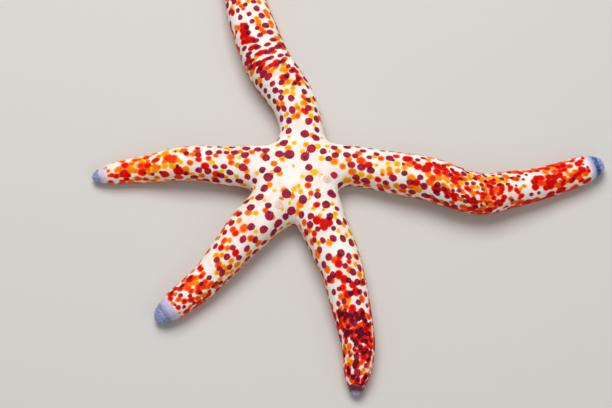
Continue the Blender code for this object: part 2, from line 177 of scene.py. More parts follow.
def widths_of(arm, lengths):
    """Width along an arm: its table, evened out, times an ellipse over the rounded end."""
    spare = WIDTH_SPREAD / 2
    fine = np.arange(-spare, arm["length"] + spare + AXIS_STEP, AXIS_STEP)
    stations = [ROOT_REACH] + [WIDTH_STEP * (index + 1) for index in range(len(arm["widths"]))]
    table = np.interp(fine, stations, (ROOT_WIDTH, *arm["widths"]))
    spread = int(WIDTH_SPREAD / AXIS_STEP) + 1
    table = np.convolve(table, np.ones(spread) / spread, mode="same")
    width = np.interp(lengths, fine, table)
    left = np.clip((arm["length"] - lengths) / TIP_LENGTH, 0.0, 1.0)
    return width * np.sqrt(1.0 - (1.0 - left) ** 2)


def lift_of(arm, lengths):
    """Height of the underside: an arch of one sine wave between disc and tip, and the upturned tip."""
    last = arm["length"] - ARCH_STOP
    along = np.clip((lengths - ARCH_START) / (last - ARCH_START), 0.0, 1.0)
    past = np.clip((lengths - last) / (arm["length"] - last), 0.0, 1.0)
    return arm["arch"] * np.sin(math.pi * along) ** 2 + TIP_RISE * past**2


def section_of(arm, lengths):
    """Half width, height of the axis, and the reach above and below it."""
    width = widths_of(arm, lengths)
    axis = width * AXIS_SHARE
    above = width * (HEIGHT_SHARE - AXIS_SHARE)
    below = axis + FLAT_DEPTH * np.clip(width / FLAT_WIDTH, 0.0, 1.0)
    return width / 2, axis + lift_of(arm, lengths), above, below


def tube(arm, points):
    """How far points lie outside one arm: the superellipse of the section at the nearest point of
    the middle line, less one, times its half width."""
    lengths, x, y, angles = (line[: int((JOINED_REACH + JOINED_SPARE) / AXIS_STEP)] for line in arm["axis"])
    coarse = slice(0, None, COARSE_STEPS)
    off = np.hypot(points[:, None, 0] - x[coarse], points[:, None, 1] - y[coarse])
    nearest = np.argmin(off, axis=1) * COARSE_STEPS
    ahead = (points[:, 0] - x[nearest]) * np.cos(angles[nearest])
    ahead += (points[:, 1] - y[nearest]) * np.sin(angles[nearest])
    at = np.clip(lengths[nearest] + ahead, 0.0, lengths[-1])
    side = np.hypot(points[:, 0] - np.interp(at, lengths, x), points[:, 1] - np.interp(at, lengths, y))
    half, axis, above, below = (np.interp(at, lengths, line) for line in section_of(arm, lengths))
    middle = np.hypot(points[:, 0], points[:, 1])
    above = above * (1.0 - DISC_SINK * np.exp(-((middle / DISC_SINK_REACH) ** 2)))
    height = points[:, 2] - axis
    reach = np.where(height > 0, above, below)
    sum_of = (side / half) ** SQUARENESS + (np.abs(height) / reach) ** SQUARENESS
    return (sum_of ** (1 / SQUARENESS) - 1.0) * half


def outside(points):
    """The five tubes run together: a soft minimum of how far points lie outside each."""
    total = np.zeros(len(points))
    for arm in ARMS.values():
        total += np.exp(-tube(arm, points) / WEB)
    return -WEB * np.log(total)


def reach_along(starts, rays):
    """Share of each ray at which it leaves the body, by halving."""
    low = np.full(len(starts), RAY_SHARES[0])
    high = np.full(len(starts), RAY_SHARES[1])
    for _ in range(SOLVE_STEPS):
        middle = (low + high) / 2
        inside = outside(starts + rays * middle[:, None]) < 0
        low = np.where(inside, middle, low)
        high = np.where(inside, high, middle)
    return (low + high) / 2


def side_rays(arm, lengths, side):
    """Level rays from the axis to one side (1 left, -1 right): square to the arm beyond its root,
    and turned towards the notch nearer the middle of the disc."""
    line, x, y, angles = arm["axis"]
    at = np.maximum(lengths, ROOT_LENGTH)
    heading = np.interp(at, line, angles) + side * math.pi / 2
    half = section_of(arm, at)[0]
    square = np.stack([np.cos(heading), np.sin(heading)], axis=1) * half[:, None]
    foot = np.stack([np.interp(at, line, x), np.interp(at, line, y)], axis=1)
    start = np.stack([np.interp(lengths, line, x), np.interp(lengths, line, y)], axis=1)
    bearing, reach = arm["notches"][side]
    notch = np.array([math.cos(bearing), math.sin(bearing)]) * reach
    share = np.minimum(lengths / ROOT_LENGTH, 1.0)[:, None]
    return start, notch * (1 - share) + (foot + square) * share - start


def narrowing(half):
    """How much slimmer than a full arm the furrow, its edges and its feet are."""
    return np.minimum(1.0, 2 * half / FULL_WIDTH)


def floor_at(arm, lengths, points):
    """Level of the underside: the arm's lift, and the rise round the mouth, a cosine squared."""
    middle = np.hypot(points[..., 0], points[..., 1]) / MOUTH_RISE_REACH
    rise = np.cos(np.minimum(middle, 1.0) * math.pi / 2) ** 2
    return lift_of(arm, lengths) + MOUTH_RISE * rise


def furrow_roof(arm, lengths, aside):
    """Height of the furrow's roof over the underside, aside of its middle: half an ellipse across,
    even along the arm, lower at its tip and higher at the mouth."""
    slim = narrowing(section_of(arm, lengths)[0])
    depth = FURROW_DEPTH * slim + (MOUTH_DEPTH - FURROW_DEPTH) * np.exp(-((lengths / MOUTH_REACH) ** 2))
    wide = FURROW_HALF_WIDTH * np.maximum(slim, FURROW_LEAST)
    return depth * np.sqrt(np.maximum(1.0 - (aside / wide) ** 2, 0.0))


def arm_grid(arm):
    """Points of an arm's surface, ring by ring. Each is at the end of a ray from the axis: where it
    leaves the joined tubes near the disc and where it meets the arm's own superellipse farther out.
    The underside is cut off level with a rounded edge, and the furrow is drawn up into it."""
    end = arm["length"] - TERMINAL_LENGTH
    lengths = np.linspace(0.0, end, int(round(end / RING_STEP)) + 1)
    half, axis, above, below = section_of(arm, lengths)
    turns = np.radians(np.linspace(FIRST_TURN, 360.0 - FIRST_TURN, ROUND_COLUMNS))
    across = np.array(ACROSS)
    left = side_rays(arm, lengths, 1)
    right = side_rays(arm, lengths, -1)
    columns = []
    asides = []
    for aside in across:
        columns.append((left[1], "across", aside))
    for turn in turns:
        columns.append((left[1] if turn <= math.pi else right[1], "round", turn))
    for aside in across[:0:-1]:
        columns.append((right[1], "across", aside))
    rays = np.zeros((len(lengths), len(columns), 3))
    for index, (level, kind, value) in enumerate(columns):
        if kind == "across":
            flat = level / np.linalg.norm(level, axis=1)[:, None]
            rays[:, index, :2] = flat * (value * narrowing(half))[:, None]
            rays[:, index, 2] = -below
        else:
            rays[:, index, :2] = level * abs(math.sin(value))
            rays[:, index, 2] = -math.cos(value) * (above if math.cos(value) < 0 else below)
        asides.append(value if kind == "across" else BEYOND)
    starts = np.concatenate([left[0], axis[:, None]], axis=1)[:, None, :] + np.zeros_like(rays)
    level = np.hypot(rays[..., 0], rays[..., 1]) / half[:, None]
    upright = np.abs(rays[..., 2]) / np.where(rays[..., 2] > 0, above[:, None], below[:, None])
    share = (level**SQUARENESS + upright**SQUARENESS) ** (-1 / SQUARENESS)
    joined = lengths < JOINED_REACH
    near = reach_along(starts[joined].reshape(-1, 3), rays[joined].reshape(-1, 3))
    share[joined] = near.reshape(-1, len(columns))
    points = starts + rays * share[..., None]
    lengths_too = lengths[:, None] + np.zeros_like(share)
    floor = floor_at(arm, lengths_too, points)
    over = points[..., 2] - floor
    points[..., 2] = floor + (over + np.sqrt(over**2 + UNDERSIDE_ROUNDING**2)) / 2
    wide = np.array(asides)[None, :] * narrowing(half)[:, None]
    points[..., 2] += furrow_roof(arm, lengths_too, wide)
    return lengths, points


names = list(ARMS)
for index, name in enumerate(names):
    arm = ARMS[name]
    before = ARMS[names[index - 1]]
    arm["axis"] = axis_of(arm)
    arm["notches"] = {
        1: (math.radians(arm["notch"]), arm["notch_reach"]),
        -1: (math.radians(before["notch"]), before["notch_reach"]),
    }
for arm in ARMS.values():
    arm["lengths"], arm["grid"] = arm_grid(arm)

# Low plates under the hide: about one for every PLATE_PITCH of surface each way, with shallow
# grooves between them, over a slow swell, out to PLATE_TURN. In pitches, PLATE_APART is the least
# distance between two middles and PLATE_REACH how far each is felt. Where an arm bends, its inner
# side lies in folds across it: the arm, the middle of the folds along it and round it (turns are
# degrees from the top, + to the left), how far they run along and round, and their depth
PLATE_PITCH = 1.75
PLATE_APART = 0.8
PLATE_REACH = 1.3
PLATE_GROOVE_DEPTH = 0.085
PLATE_GROOVE_WIDTH = 0.42
PLATE_TURN = 150.0
PLATE_TRIES = 9000
PLATE_SEED = 11
SWELL_HEIGHT = 0.09
SWELL_SIZE = 7.0
FOLD_PITCH = 1.7
FOLD_BOW = 0.5
FOLD_BOW_SIZE = 4.0
FOLDS = (
    ("back", 29.5, 10, 6.5, 75, 0.17),
    ("back", 40.0, -70, 6.0, 50, 0.12),
    ("right", 37.0, 60, 7.0, 50, 0.13),
    ("right", 47.0, 45, 5.5, 55, 0.16),
    ("front", 46.0, -70, 5.5, 50, 0.1),
)

# Random values are sums of nine waves from 0.7 to 1.5 times as long as asked. Random places keep off
# the terminal plates and the furrow, and are as dense as the widest arm's half width of 6 mm allows
WAVES = 9
WAVE_SIZES = (0.7, 1.5)
PLACE_SPARE = 0.2
PLACE_TURN = 155.0
WIDEST_HALF = 6.0

# The columns across the flat take their turns from this share of FIRST_TURN, and the end of an arm
# is read just short of its last ring
FLAT_TURN_SHARE = 0.9
LAST_SHARE = 0.9999


def wavering(points, size, seed):
    """Smooth random value of about -1 to 1 at each point: plane waves about size long, with seeded
    directions and phases, added up."""
    draw = np.random.default_rng(seed)
    total = np.zeros(len(points))
    for _ in range(WAVES):
        way = draw.normal(size=3)
        way *= 2 * math.pi / (size * draw.uniform(*WAVE_SIZES) * np.linalg.norm(way))
        total += np.sin(points @ way + draw.uniform(0, 2 * math.pi))
    return total / math.sqrt(WAVES)


def column_turns():
    """Turn of each column from the top, in degrees: + to the left, - to the right, 180 underneath."""
    left = 180.0 - np.array(ACROSS) / ACROSS[-1] * FIRST_TURN * FLAT_TURN_SHARE
    around = 180.0 - np.linspace(FIRST_TURN, 360.0 - FIRST_TURN, ROUND_COLUMNS)
    return np.concatenate([left, around, -left[:0:-1]])


def between(arm, values, length, turn):
    """Value of a grid of an arm at a length and a turn, straight between the four points round it."""
    row = np.clip(length / arm["lengths"][-1], 0.0, LAST_SHARE) * (len(arm["lengths"]) - 1)
    column = np.interp(-turn, -TURNS, np.arange(len(TURNS)))
    row_part = row - int(row)
    column_part = column - int(column)
    four = values[int(row) : int(row) + 2, int(column) : int(column) + 2]
    rows = four[0] * (1 - row_part) + four[-1] * row_part
    return rows[0] * (1 - column_part) + rows[-1] * column_part


def normals_of(grid):
    """Outward direction at each point of a grid, square to its steps along and around."""
    around = np.roll(grid, -1, axis=1) - np.roll(grid, 1, axis=1)
    along = np.gradient(grid, axis=0)
    square = np.cross(around, along)
    return square / np.maximum(np.linalg.norm(square, axis=2), TINY)[..., None]


def rings_near(name, length, reach):
    """Numbers of the skin's points within reach of a length of an arm: rings of that arm, and near
    the disc also the first rings of the others."""
    chosen = []
    for other, arm in ARMS.items():
        low, high = length - reach, length + reach
        if length < ROOT_LENGTH + reach:
            low, high = 0.0, ROOT_LENGTH + reach + (length if other == name else 0.0)
        elif other != name:
            continue
        rows = (arm["lengths"] >= low) & (arm["lengths"] <= high)
        chosen.append(arm["numbers"][rows].ravel())
    return np.concatenate(chosen)


def random_places(seed, count):
    """Seeded places all over the skin, as many on each bit of it as its area asks: (arm, length, turn)."""
    draw = np.random.default_rng(seed)
    names = list(ARMS)
    sums = np.array([np.sum(section_of(ARMS[name], ARMS[name]["lengths"])[0]) for name in names])
    places = []
    while len(places) < count:
        name = names[draw.choice(len(names), p=sums / sums.sum())]
        arm = ARMS[name]
        length = draw.uniform(0.0, arm["length"] - TERMINAL_LENGTH - PLACE_SPARE)
        if draw.uniform(0.0, WIDEST_HALF) < section_of(arm, np.array([length]))[0][0]:
            places.append((name, length, draw.uniform(-PLACE_TURN, PLACE_TURN)))
    return places


TURNS = column_turns()
first = 0
for arm in ARMS.values():
    size = arm["grid"].shape[:2]
    arm["numbers"] = np.arange(first, first + size[0] * size[1]).reshape(size)
    first += size[0] * size[1]
points = np.concatenate([arm["grid"].reshape(-1, 3) for arm in ARMS.values()])
outwards = np.concatenate([normals_of(arm["grid"]).reshape(-1, 3) for arm in ARMS.values()])

# In the disc's middle an arm's first ring is its neighbours' too: its left half is the next arm's
# right half, and the points straight above and below the middle are the same for all
shared = np.arange(len(points))
around = len(TURNS)
first_rings = [arm["numbers"][0] for arm in ARMS.values()]
for index, ring in enumerate(first_rings):
    right_half = np.arange(around // 2 + 1, around)
    shared[ring[right_half]] = first_rings[index - 1][around - right_half]
    shared[ring[[0, around // 2]]] = first_rings[0][[0, around // 2]]
sums = np.zeros_like(outwards)
np.add.at(sums, shared, outwards)
outwards = (sums / np.maximum(np.linalg.norm(sums, axis=1), TINY)[:, None])[shared]

nearest = np.full(len(points), BEYOND)
second = np.full(len(points), BEYOND)
plates = []
for name, length, turn in random_places(PLATE_SEED, PLATE_TRIES):
    middle = between(ARMS[name], ARMS[name]["grid"], length, turn)
    if plates and np.min(np.linalg.norm(np.array(plates) - middle, axis=1)) < PLATE_PITCH * PLATE_APART:
        continue
    plates.append(middle)
    near = rings_near(name, length, PLATE_PITCH * PLATE_REACH)
    away = np.linalg.norm(points[near] - middle, axis=1)
    second[near] = np.minimum(second[near], np.maximum(nearest[near], away))
    nearest[near] = np.minimum(nearest[near], away)
groove = np.clip(1.0 - (second - nearest) / PLATE_GROOVE_WIDTH, 0.0, 1.0)
depth = PLATE_GROOVE_DEPTH * groove * groove * (3 - 2 * groove)
depth += SWELL_HEIGHT * (0.5 + 0.5 * np.clip(wavering(points, SWELL_SIZE, PLATE_SEED), -1.0, 1.0))
for name, length, turn, along, around, deep in FOLDS:
    arm = ARMS[name]
    bow = FOLD_BOW * wavering(points[arm["numbers"].ravel()], FOLD_BOW_SIZE, PLATE_SEED)
    off = arm["lengths"][:, None] - length + bow.reshape(arm["numbers"].shape)
    share = np.exp(-((off / along) ** 2) - ((TURNS[None, :] - turn) / around) ** 2)
    wave = np.sin(math.pi * off / FOLD_PITCH) ** 2
    depth[arm["numbers"].ravel()] += (deep * share * wave).ravel()
upper = np.concatenate([np.tile(np.abs(TURNS) < PLATE_TURN, len(arm["lengths"])) for arm in ARMS.values()])
points -= outwards * (depth * upper)[:, None]

# Markings of the skin
# The real colours lie in the granules: round plum dots evenly spaced over a porcelain ground, and
# warm spots from yellow on the disc to red along the arms, many of them half under a dot. Those that
# show from above are set out here as they were read off the animal; seeded ones fill the rest.

# Dots on the disc: x and y from its middle and the diameter
DISC_DOTS = (
    (-1.6, 3.6, 2.5), (-3.9, 3.7, 2.0), (2.1, 3.0, 2.2), (3.6, 5.1, 2.3), (3.0, 0.3, 1.8), (3.1, -2.6, 2.0),
    (-4.2, -0.4, 1.9), (-6.4, -2.2, 2.4), (-7.8, -0.3, 1.7), (-7.3, -4.9, 2.0), (-6.9, 2.8, 1.9),
    (-7.1, 5.0, 1.9), (-9.0, 5.4, 1.9), (-2.9, 6.9, 2.1), (-4.3, 8.7, 1.5), (-1.8, 10.1, 1.8),
    (-3.2, 11.3, 1.2), (2.1, 9.0, 2.1), (4.7, 8.2, 1.9), (5.0, 10.5, 1.5), (3.0, 12.4, 1.9), (6.4, 4.5, 1.8),
    (9.0, 5.9, 1.7), (9.2, 3.7, 1.7), (7.6, 2.6, 1.6), (8.9, -1.3, 1.7), (-9.6, -2.5, 1.5),
    (-11.3, -1.4, 1.6), (-8.4, -7.2, 2.1), (-10.4, -9.9, 2.0), (-11.5, -7.8, 1.8), (-6.3, -9.6, 1.6),
    (-2.1, -6.6, 2.3), (1.6, -7.9, 2.1), (-1.0, -10.3, 2.1), (1.3, -11.4, 1.7), (5.0, -6.9, 1.8),
    (8.4, -6.2, 2.4), (7.0, -9.3, 2.1), (3.4, -12.1, 1.7), (9.5, -10.0, 1.4), (-6.0, -12.0, 2.3),
    (-2.3, -11.6, 1.7),
)

# Warm spots on the disc: x, y, diameter, and warmth from 0, yellow, by 0.5, orange, to 1, red
DISC_WARM = (
    (-1.8, 5.3, 1.7, 0.25), (-3.2, 2.4, 1.4, 0.3), (-5.1, 1.2, 1.6, 0.55), (-7.4, 3.4, 2.0, 0.5),
    (-10.3, 4.5, 1.5, 0.6), (-11.5, 2.1, 1.6, 0.65), (-11.5, -0.2, 1.5, 0.35), (-9.1, -0.9, 1.1, 0.15),
    (-5.6, -0.9, 1.1, 0.1), (-3.7, -1.4, 1.6, 0.35), (-0.6, 0.7, 0.8, 0.1), (-6.1, -4.2, 1.6, 0.35),
    (-4.9, -5.8, 0.9, 0.0), (-9.7, -4.0, 1.2, 0.3), (-10.2, -7.2, 1.4, 0.25), (-7.2, -8.1, 0.9, 0.05),
    (-2.7, -5.7, 1.7, 0.45), (-3.3, -7.8, 1.2, 0.6), (-0.7, -7.1, 1.3, 0.55), (-0.5, -5.4, 1.3, 0.2),
    (0.6, -4.6, 1.2, 0.25), (1.1, -6.0, 1.3, 0.15), (-1.4, -8.7, 1.0, 0.12), (1.0, -9.0, 1.9, 0.4),
    (0.4, -10.6, 1.5, 0.25), (2.8, -4.4, 1.7, 0.75), (3.5, -6.4, 1.4, 0.75), (5.0, -5.7, 1.2, 0.65),
    (3.1, -7.9, 0.7, 0.1), (4.8, -9.4, 1.6, 1.0), (4.0, -10.4, 1.0, 0.25), (5.5, -12.1, 1.0, 0.3),
    (6.4, -10.7, 0.9, 0.3), (8.4, -9.0, 1.2, 0.25), (9.1, -11.5, 1.3, 0.25), (4.2, -1.0, 1.7, 0.05),
    (1.5, -2.1, 1.1, 0.05), (6.0, -1.5, 0.8, 0.1), (1.5, 4.3, 1.1, 0.1), (2.4, 6.1, 1.5, 0.25),
    (5.1, 5.8, 1.6, 0.1), (-0.4, 6.6, 1.2, 0.08), (-4.2, 6.5, 1.4, 0.45), (-1.7, 8.4, 0.9, 0.1),
    (3.8, 8.8, 1.4, 0.35), (6.1, 8.6, 0.8, 0.1), (4.3, 11.6, 0.9, 0.12), (-2.4, 11.5, 1.0, 0.15),
    (7.3, 6.2, 1.1, 0.12), (6.0, 2.6, 1.4, 0.08), (8.9, 2.0, 1.9, 0.38), (9.9, 4.9, 1.6, 0.35),
    (12.3, 2.6, 1.6, 0.5), (10.9, 0.9, 1.5, 0.5), (7.8, 4.5, 0.6, 0.1), (-10.9, -11.2, 1.8, 0.5),
    (-9.1, -11.5, 1.3, 0.18), (-6.9, -10.8, 1.4, 0.65), (-5.2, -12.3, 1.3, 0.4), (-3.0, -10.3, 0.8, 0.12),
)

# Dots along each arm: the length they are at, their turn from the top in degrees and the diameter
ARM_DOTS = {
    "back": (
        (13.1, -44, 1.8), (13.3, 35, 1.6), (15.1, 59, 1.6), (15.3, -48, 1.4), (15.5, -24, 1.6),
        (15.9, 19, 1.7), (17.3, 39, 1.5), (17.4, -31, 1.4), (17.9, -54, 1.4), (18.5, 57, 1.4),
        (19.0, 11, 1.6), (19.5, -29, 1.5), (20.5, 34, 1.5), (20.6, -48, 1.2), (21.0, 57, 1.3),
        (21.8, 26, 1.1), (22.0, -13, 1.1), (22.7, -31, 1.2), (23.1, 37, 1.4), (23.3, 65, 1.2),
        (23.8, 12, 1.3), (24.6, -9, 1.2), (24.9, 33, 1.2), (25.0, -27, 1.1), (25.1, 63, 1.2),
        (26.5, -27, 1.1), (26.8, 31, 1.5), (26.8, 66, 1.2), (28.0, -3, 1.0), (28.1, 38, 1.5),
        (28.3, -20, 1.2), (28.4, 72, 1.2), (29.6, -47, 1.2), (29.6, 41, 1.3), (29.9, -26, 1.1),
        (30.4, 0, 1.0), (30.9, 31, 1.0), (31.5, 97, 1.3), (31.6, 58, 1.3), (32.0, 0, 1.0), (32.3, 44, 1.0),
        (32.5, -14, 1.1), (32.7, -33, 1.4), (33.2, 70, 1.1), (34.0, 45, 1.3), (34.1, -9, 1.1),
        (34.3, 15, 1.1), (35.2, -29, 1.3), (35.2, 83, 1.4), (35.8, 50, 1.2), (36.1, 14, 1.2),
        (37.3, -1, 1.3), (37.5, -28, 1.5), (38.4, 83, 1.3), (38.9, 24, 1.2), (39.4, 0, 1.1),
        (39.6, -24, 1.7), (40.6, 24, 1.3), (41.2, 92, 1.4), (41.3, 58, 1.1), (41.7, 5, 1.3),
        (42.7, -24, 1.7), (44.0, 6, 1.3), (44.0, 31, 1.4), (44.7, 74, 1.4), (45.1, -18, 1.7),
        (46.1, 31, 1.2), (47.0, 8, 1.3), (47.2, 63, 1.2), (47.3, 90, 1.1), (47.5, -17, 1.4), (49.2, 35, 1.5),
    ),
    "left": (
        (12.3, 26, 1.9), (12.3, -12, 1.8), (11.8, -38, 1.8), (13.4, 68, 1.7), (14.8, -20, 1.6),
        (15.5, 42, 1.5), (15.8, 72, 1.6), (15.6, -48, 1.4), (16.8, -20, 1.2), (17.0, 26, 1.4),
        (17.6, 54, 1.5), (18.5, -20, 1.3), (18.6, -48, 1.3), (18.7, 82, 1.7), (19.0, 29, 1.2),
        (20.8, -15, 1.6), (20.8, 46, 1.6), (20.8, -46, 1.2), (21.3, 88, 1.7), (23.0, 45, 1.5),
        (23.2, -6, 1.4), (23.4, -35, 1.2), (24.2, 76, 1.7), (28.1, 29, 0.9), (34.2, 48, 0.9),
        (32.3, 45, 0.8), (35.9, 40, 0.6), (26.0, -15, 1.1), (26.1, 60, 1.0), (28.6, -28, 0.7),
    ),
    "front_left": (
        (11.5, 58, 2.0), (14.4, 72, 1.8), (16.2, 42, 1.9), (17.2, -35, 1.4), (17.9, 14, 1.7),
        (18.0, 77, 1.6), (19.4, 46, 1.5), (19.7, -37, 1.4), (21.0, 82, 1.6), (21.3, 20, 1.6),
        (22.2, 47, 1.5), (22.4, -38, 1.4), (23.6, 80, 1.6), (24.3, 13, 1.4), (25.0, 47, 1.4),
        (26.2, -38, 1.4), (26.7, 17, 1.5), (27.9, 47, 1.3), (28.6, -2, 1.4), (29.7, 22, 1.3),
        (32.4, 51, 1.2), (33.3, 53, 0.9), (34.8, 16, 1.0), (35.5, -37, 0.8), (38.2, -31, 1.1),
        (39.7, -61, 0.9), (40.0, 0, 1.1), (41.1, -39, 0.9), (43.1, -33, 0.9), (30.0, 40, 1.5),
        (32.7, 19, 1.2), (31.4, 66, 1.1), (34.4, 58, 1.0), (36.2, 40, 1.0), (38.6, 58, 0.9), (38.4, 24, 0.9),
        (41.0, 46, 0.9), (42.4, 18, 0.8),
    ),
    "front": (
        (14.5, 14, 1.7), (14.7, -40, 1.7), (15.6, -60, 1.5), (16.2, 53, 1.6), (16.4, 31, 1.5),
        (16.4, -25, 1.3), (17.6, 11, 1.2), (18.1, -45, 1.3), (19.3, -26, 1.4), (19.9, 0, 1.6),
        (20.6, 23, 1.6), (20.9, -44, 1.5), (21.8, 44, 1.8), (23.7, -28, 1.7), (23.8, 5, 1.8),
        (24.8, -50, 1.6), (25.0, 23, 1.5), (25.2, 46, 1.5), (27.0, 5, 1.3), (27.8, 46, 1.6),
        (28.2, -34, 1.5), (28.7, 22, 1.6), (28.7, -51, 1.5), (30.4, 5, 1.3), (30.9, 52, 1.6),
        (31.1, 29, 1.5), (31.8, -28, 1.1), (32.0, -46, 1.4), (33.4, 3, 1.3), (33.3, 30, 1.2),
        (33.7, 50, 1.3), (34.8, -22, 1.2), (34.8, -41, 1.2), (35.7, 20, 1.3), (36.5, 47, 1.0),
        (36.6, -44, 1.2), (36.9, -25, 1.0), (38.0, -22, 1.1), (38.2, 27, 1.2), (38.2, 4, 1.1),
        (38.4, -9, 1.1), (39.1, 23, 1.2), (39.9, 31, 1.0), (40.1, -5, 1.4), (40.3, 52, 1.0),
        (40.4, -28, 1.0), (40.7, 37, 1.0), (41.0, -44, 1.1), (41.9, -31, 1.2), (42.1, -44, 1.1),
        (42.6, 16, 1.1), (42.6, 38, 1.0), (43.2, 4, 1.1), (43.5, -22, 1.0), (43.8, -44, 1.2),
        (44.1, 45, 1.0), (44.3, 24, 1.1), (44.6, -9, 1.1), (45.5, 5, 1.2), (46.0, -17, 1.0), (46.2, 30, 1.0),
        (46.4, -35, 0.8), (46.4, 46, 1.0), (46.8, 15, 1.0), (47.1, -62, 1.0), (47.4, -31, 0.9),
        (47.6, -8, 1.5), (47.6, 44, 1.0), (48.2, 36, 0.8), (48.9, -7, 1.2), (49.3, 33, 1.1),
        (49.7, -13, 1.1), (50.1, -42, 1.0), (51.0, -41, 1.1), (51.1, 0, 1.6), (51.7, 45, 1.2),
        (52.1, -21, 1.1), (52.5, 7, 1.0), (53.1, 45, 1.0), (37.3, -38, 1.2), (37.6, -51, 0.9),
        (39.4, -14, 1.1), (39.3, 10, 1.1), (38.8, -35, 1.0), (41.6, 12, 1.0), (42.0, -4, 1.1),
        (42.0, -18, 1.0), (42.7, 29, 0.9), (44.1, 15, 1.0), (44.1, -15, 1.0), (53.8, -31, 1.1),
        (53.8, 23, 1.1),
    ),
    "right": (
        (12.0, 42, 1.7), (12.2, 10, 1.6), (13.5, -20, 1.7), (14.3, 8, 1.4), (14.6, 50, 1.4),
        (15.1, -57, 1.7), (15.8, 30, 1.4), (16.1, -24, 1.8), (17.3, 52, 1.3), (17.5, 10, 1.2),
        (17.8, -64, 1.9), (18.6, -28, 1.7), (18.9, 26, 1.3), (20.0, 50, 1.3), (21.5, -88, 1.5),
        (22.0, 18, 1.6), (22.4, -56, 1.5), (23.0, 13, 0.9), (23.9, -38, 1.7), (24.6, -86, 1.5),
        (25.6, 5, 1.0), (26.3, -20, 1.4), (26.6, -57, 1.6), (27.9, -41, 1.5), (28.6, 25, 1.2),
        (28.8, -73, 1.8), (29.8, 38, 1.2), (30.1, -24, 1.4), (31.5, -45, 1.7), (32.2, 27, 0.9),
        (32.5, -76, 1.9), (34.5, 28, 1.1), (34.8, -31, 1.4), (35.2, -53, 1.5), (35.7, -82, 1.6),
        (36.5, -36, 1.2), (36.5, 26, 1.1), (36.7, 9, 1.0), (37.7, -53, 1.2), (37.9, -78, 1.4),
        (38.4, -31, 1.0), (39.3, 44, 0.9), (39.4, 6, 1.0), (39.6, 26, 1.4), (39.7, -80, 1.4),
        (39.7, -27, 1.0), (40.4, 37, 1.0), (40.9, -39, 1.0), (40.9, -2, 1.0), (41.7, -51, 1.2),
        (42.4, 4, 1.1), (42.5, 20, 1.1), (43.0, -37, 1.0), (43.6, -64, 1.2), (43.9, 37, 0.9), (44.4, 4, 1.0),
        (44.5, -55, 0.9), (44.7, -9, 1.0), (45.4, -51, 0.9), (45.4, 18, 0.9), (45.6, 40, 1.1),
        (46.7, -2, 1.0), (48.0, 20, 0.9), (48.2, 41, 0.9), (48.5, 0, 1.0), (49.7, 18, 1.1), (49.8, 40, 1.2),
        (50.6, -3, 1.0), (50.9, -57, 0.9), (51.9, 17, 0.8), (52.1, 41, 1.1), (52.5, -13, 0.7),
        (53.8, 19, 0.9), (54.7, 4, 0.8), (55.7, -50, 1.0), (55.8, 22, 0.8), (57.5, -50, 0.9),
        (63.1, -29, 0.6), (64.3, -35, 0.7), (66.5, -41, 0.7), (70.0, 4, 0.5), (70.8, -13, 0.8),
    ),
}

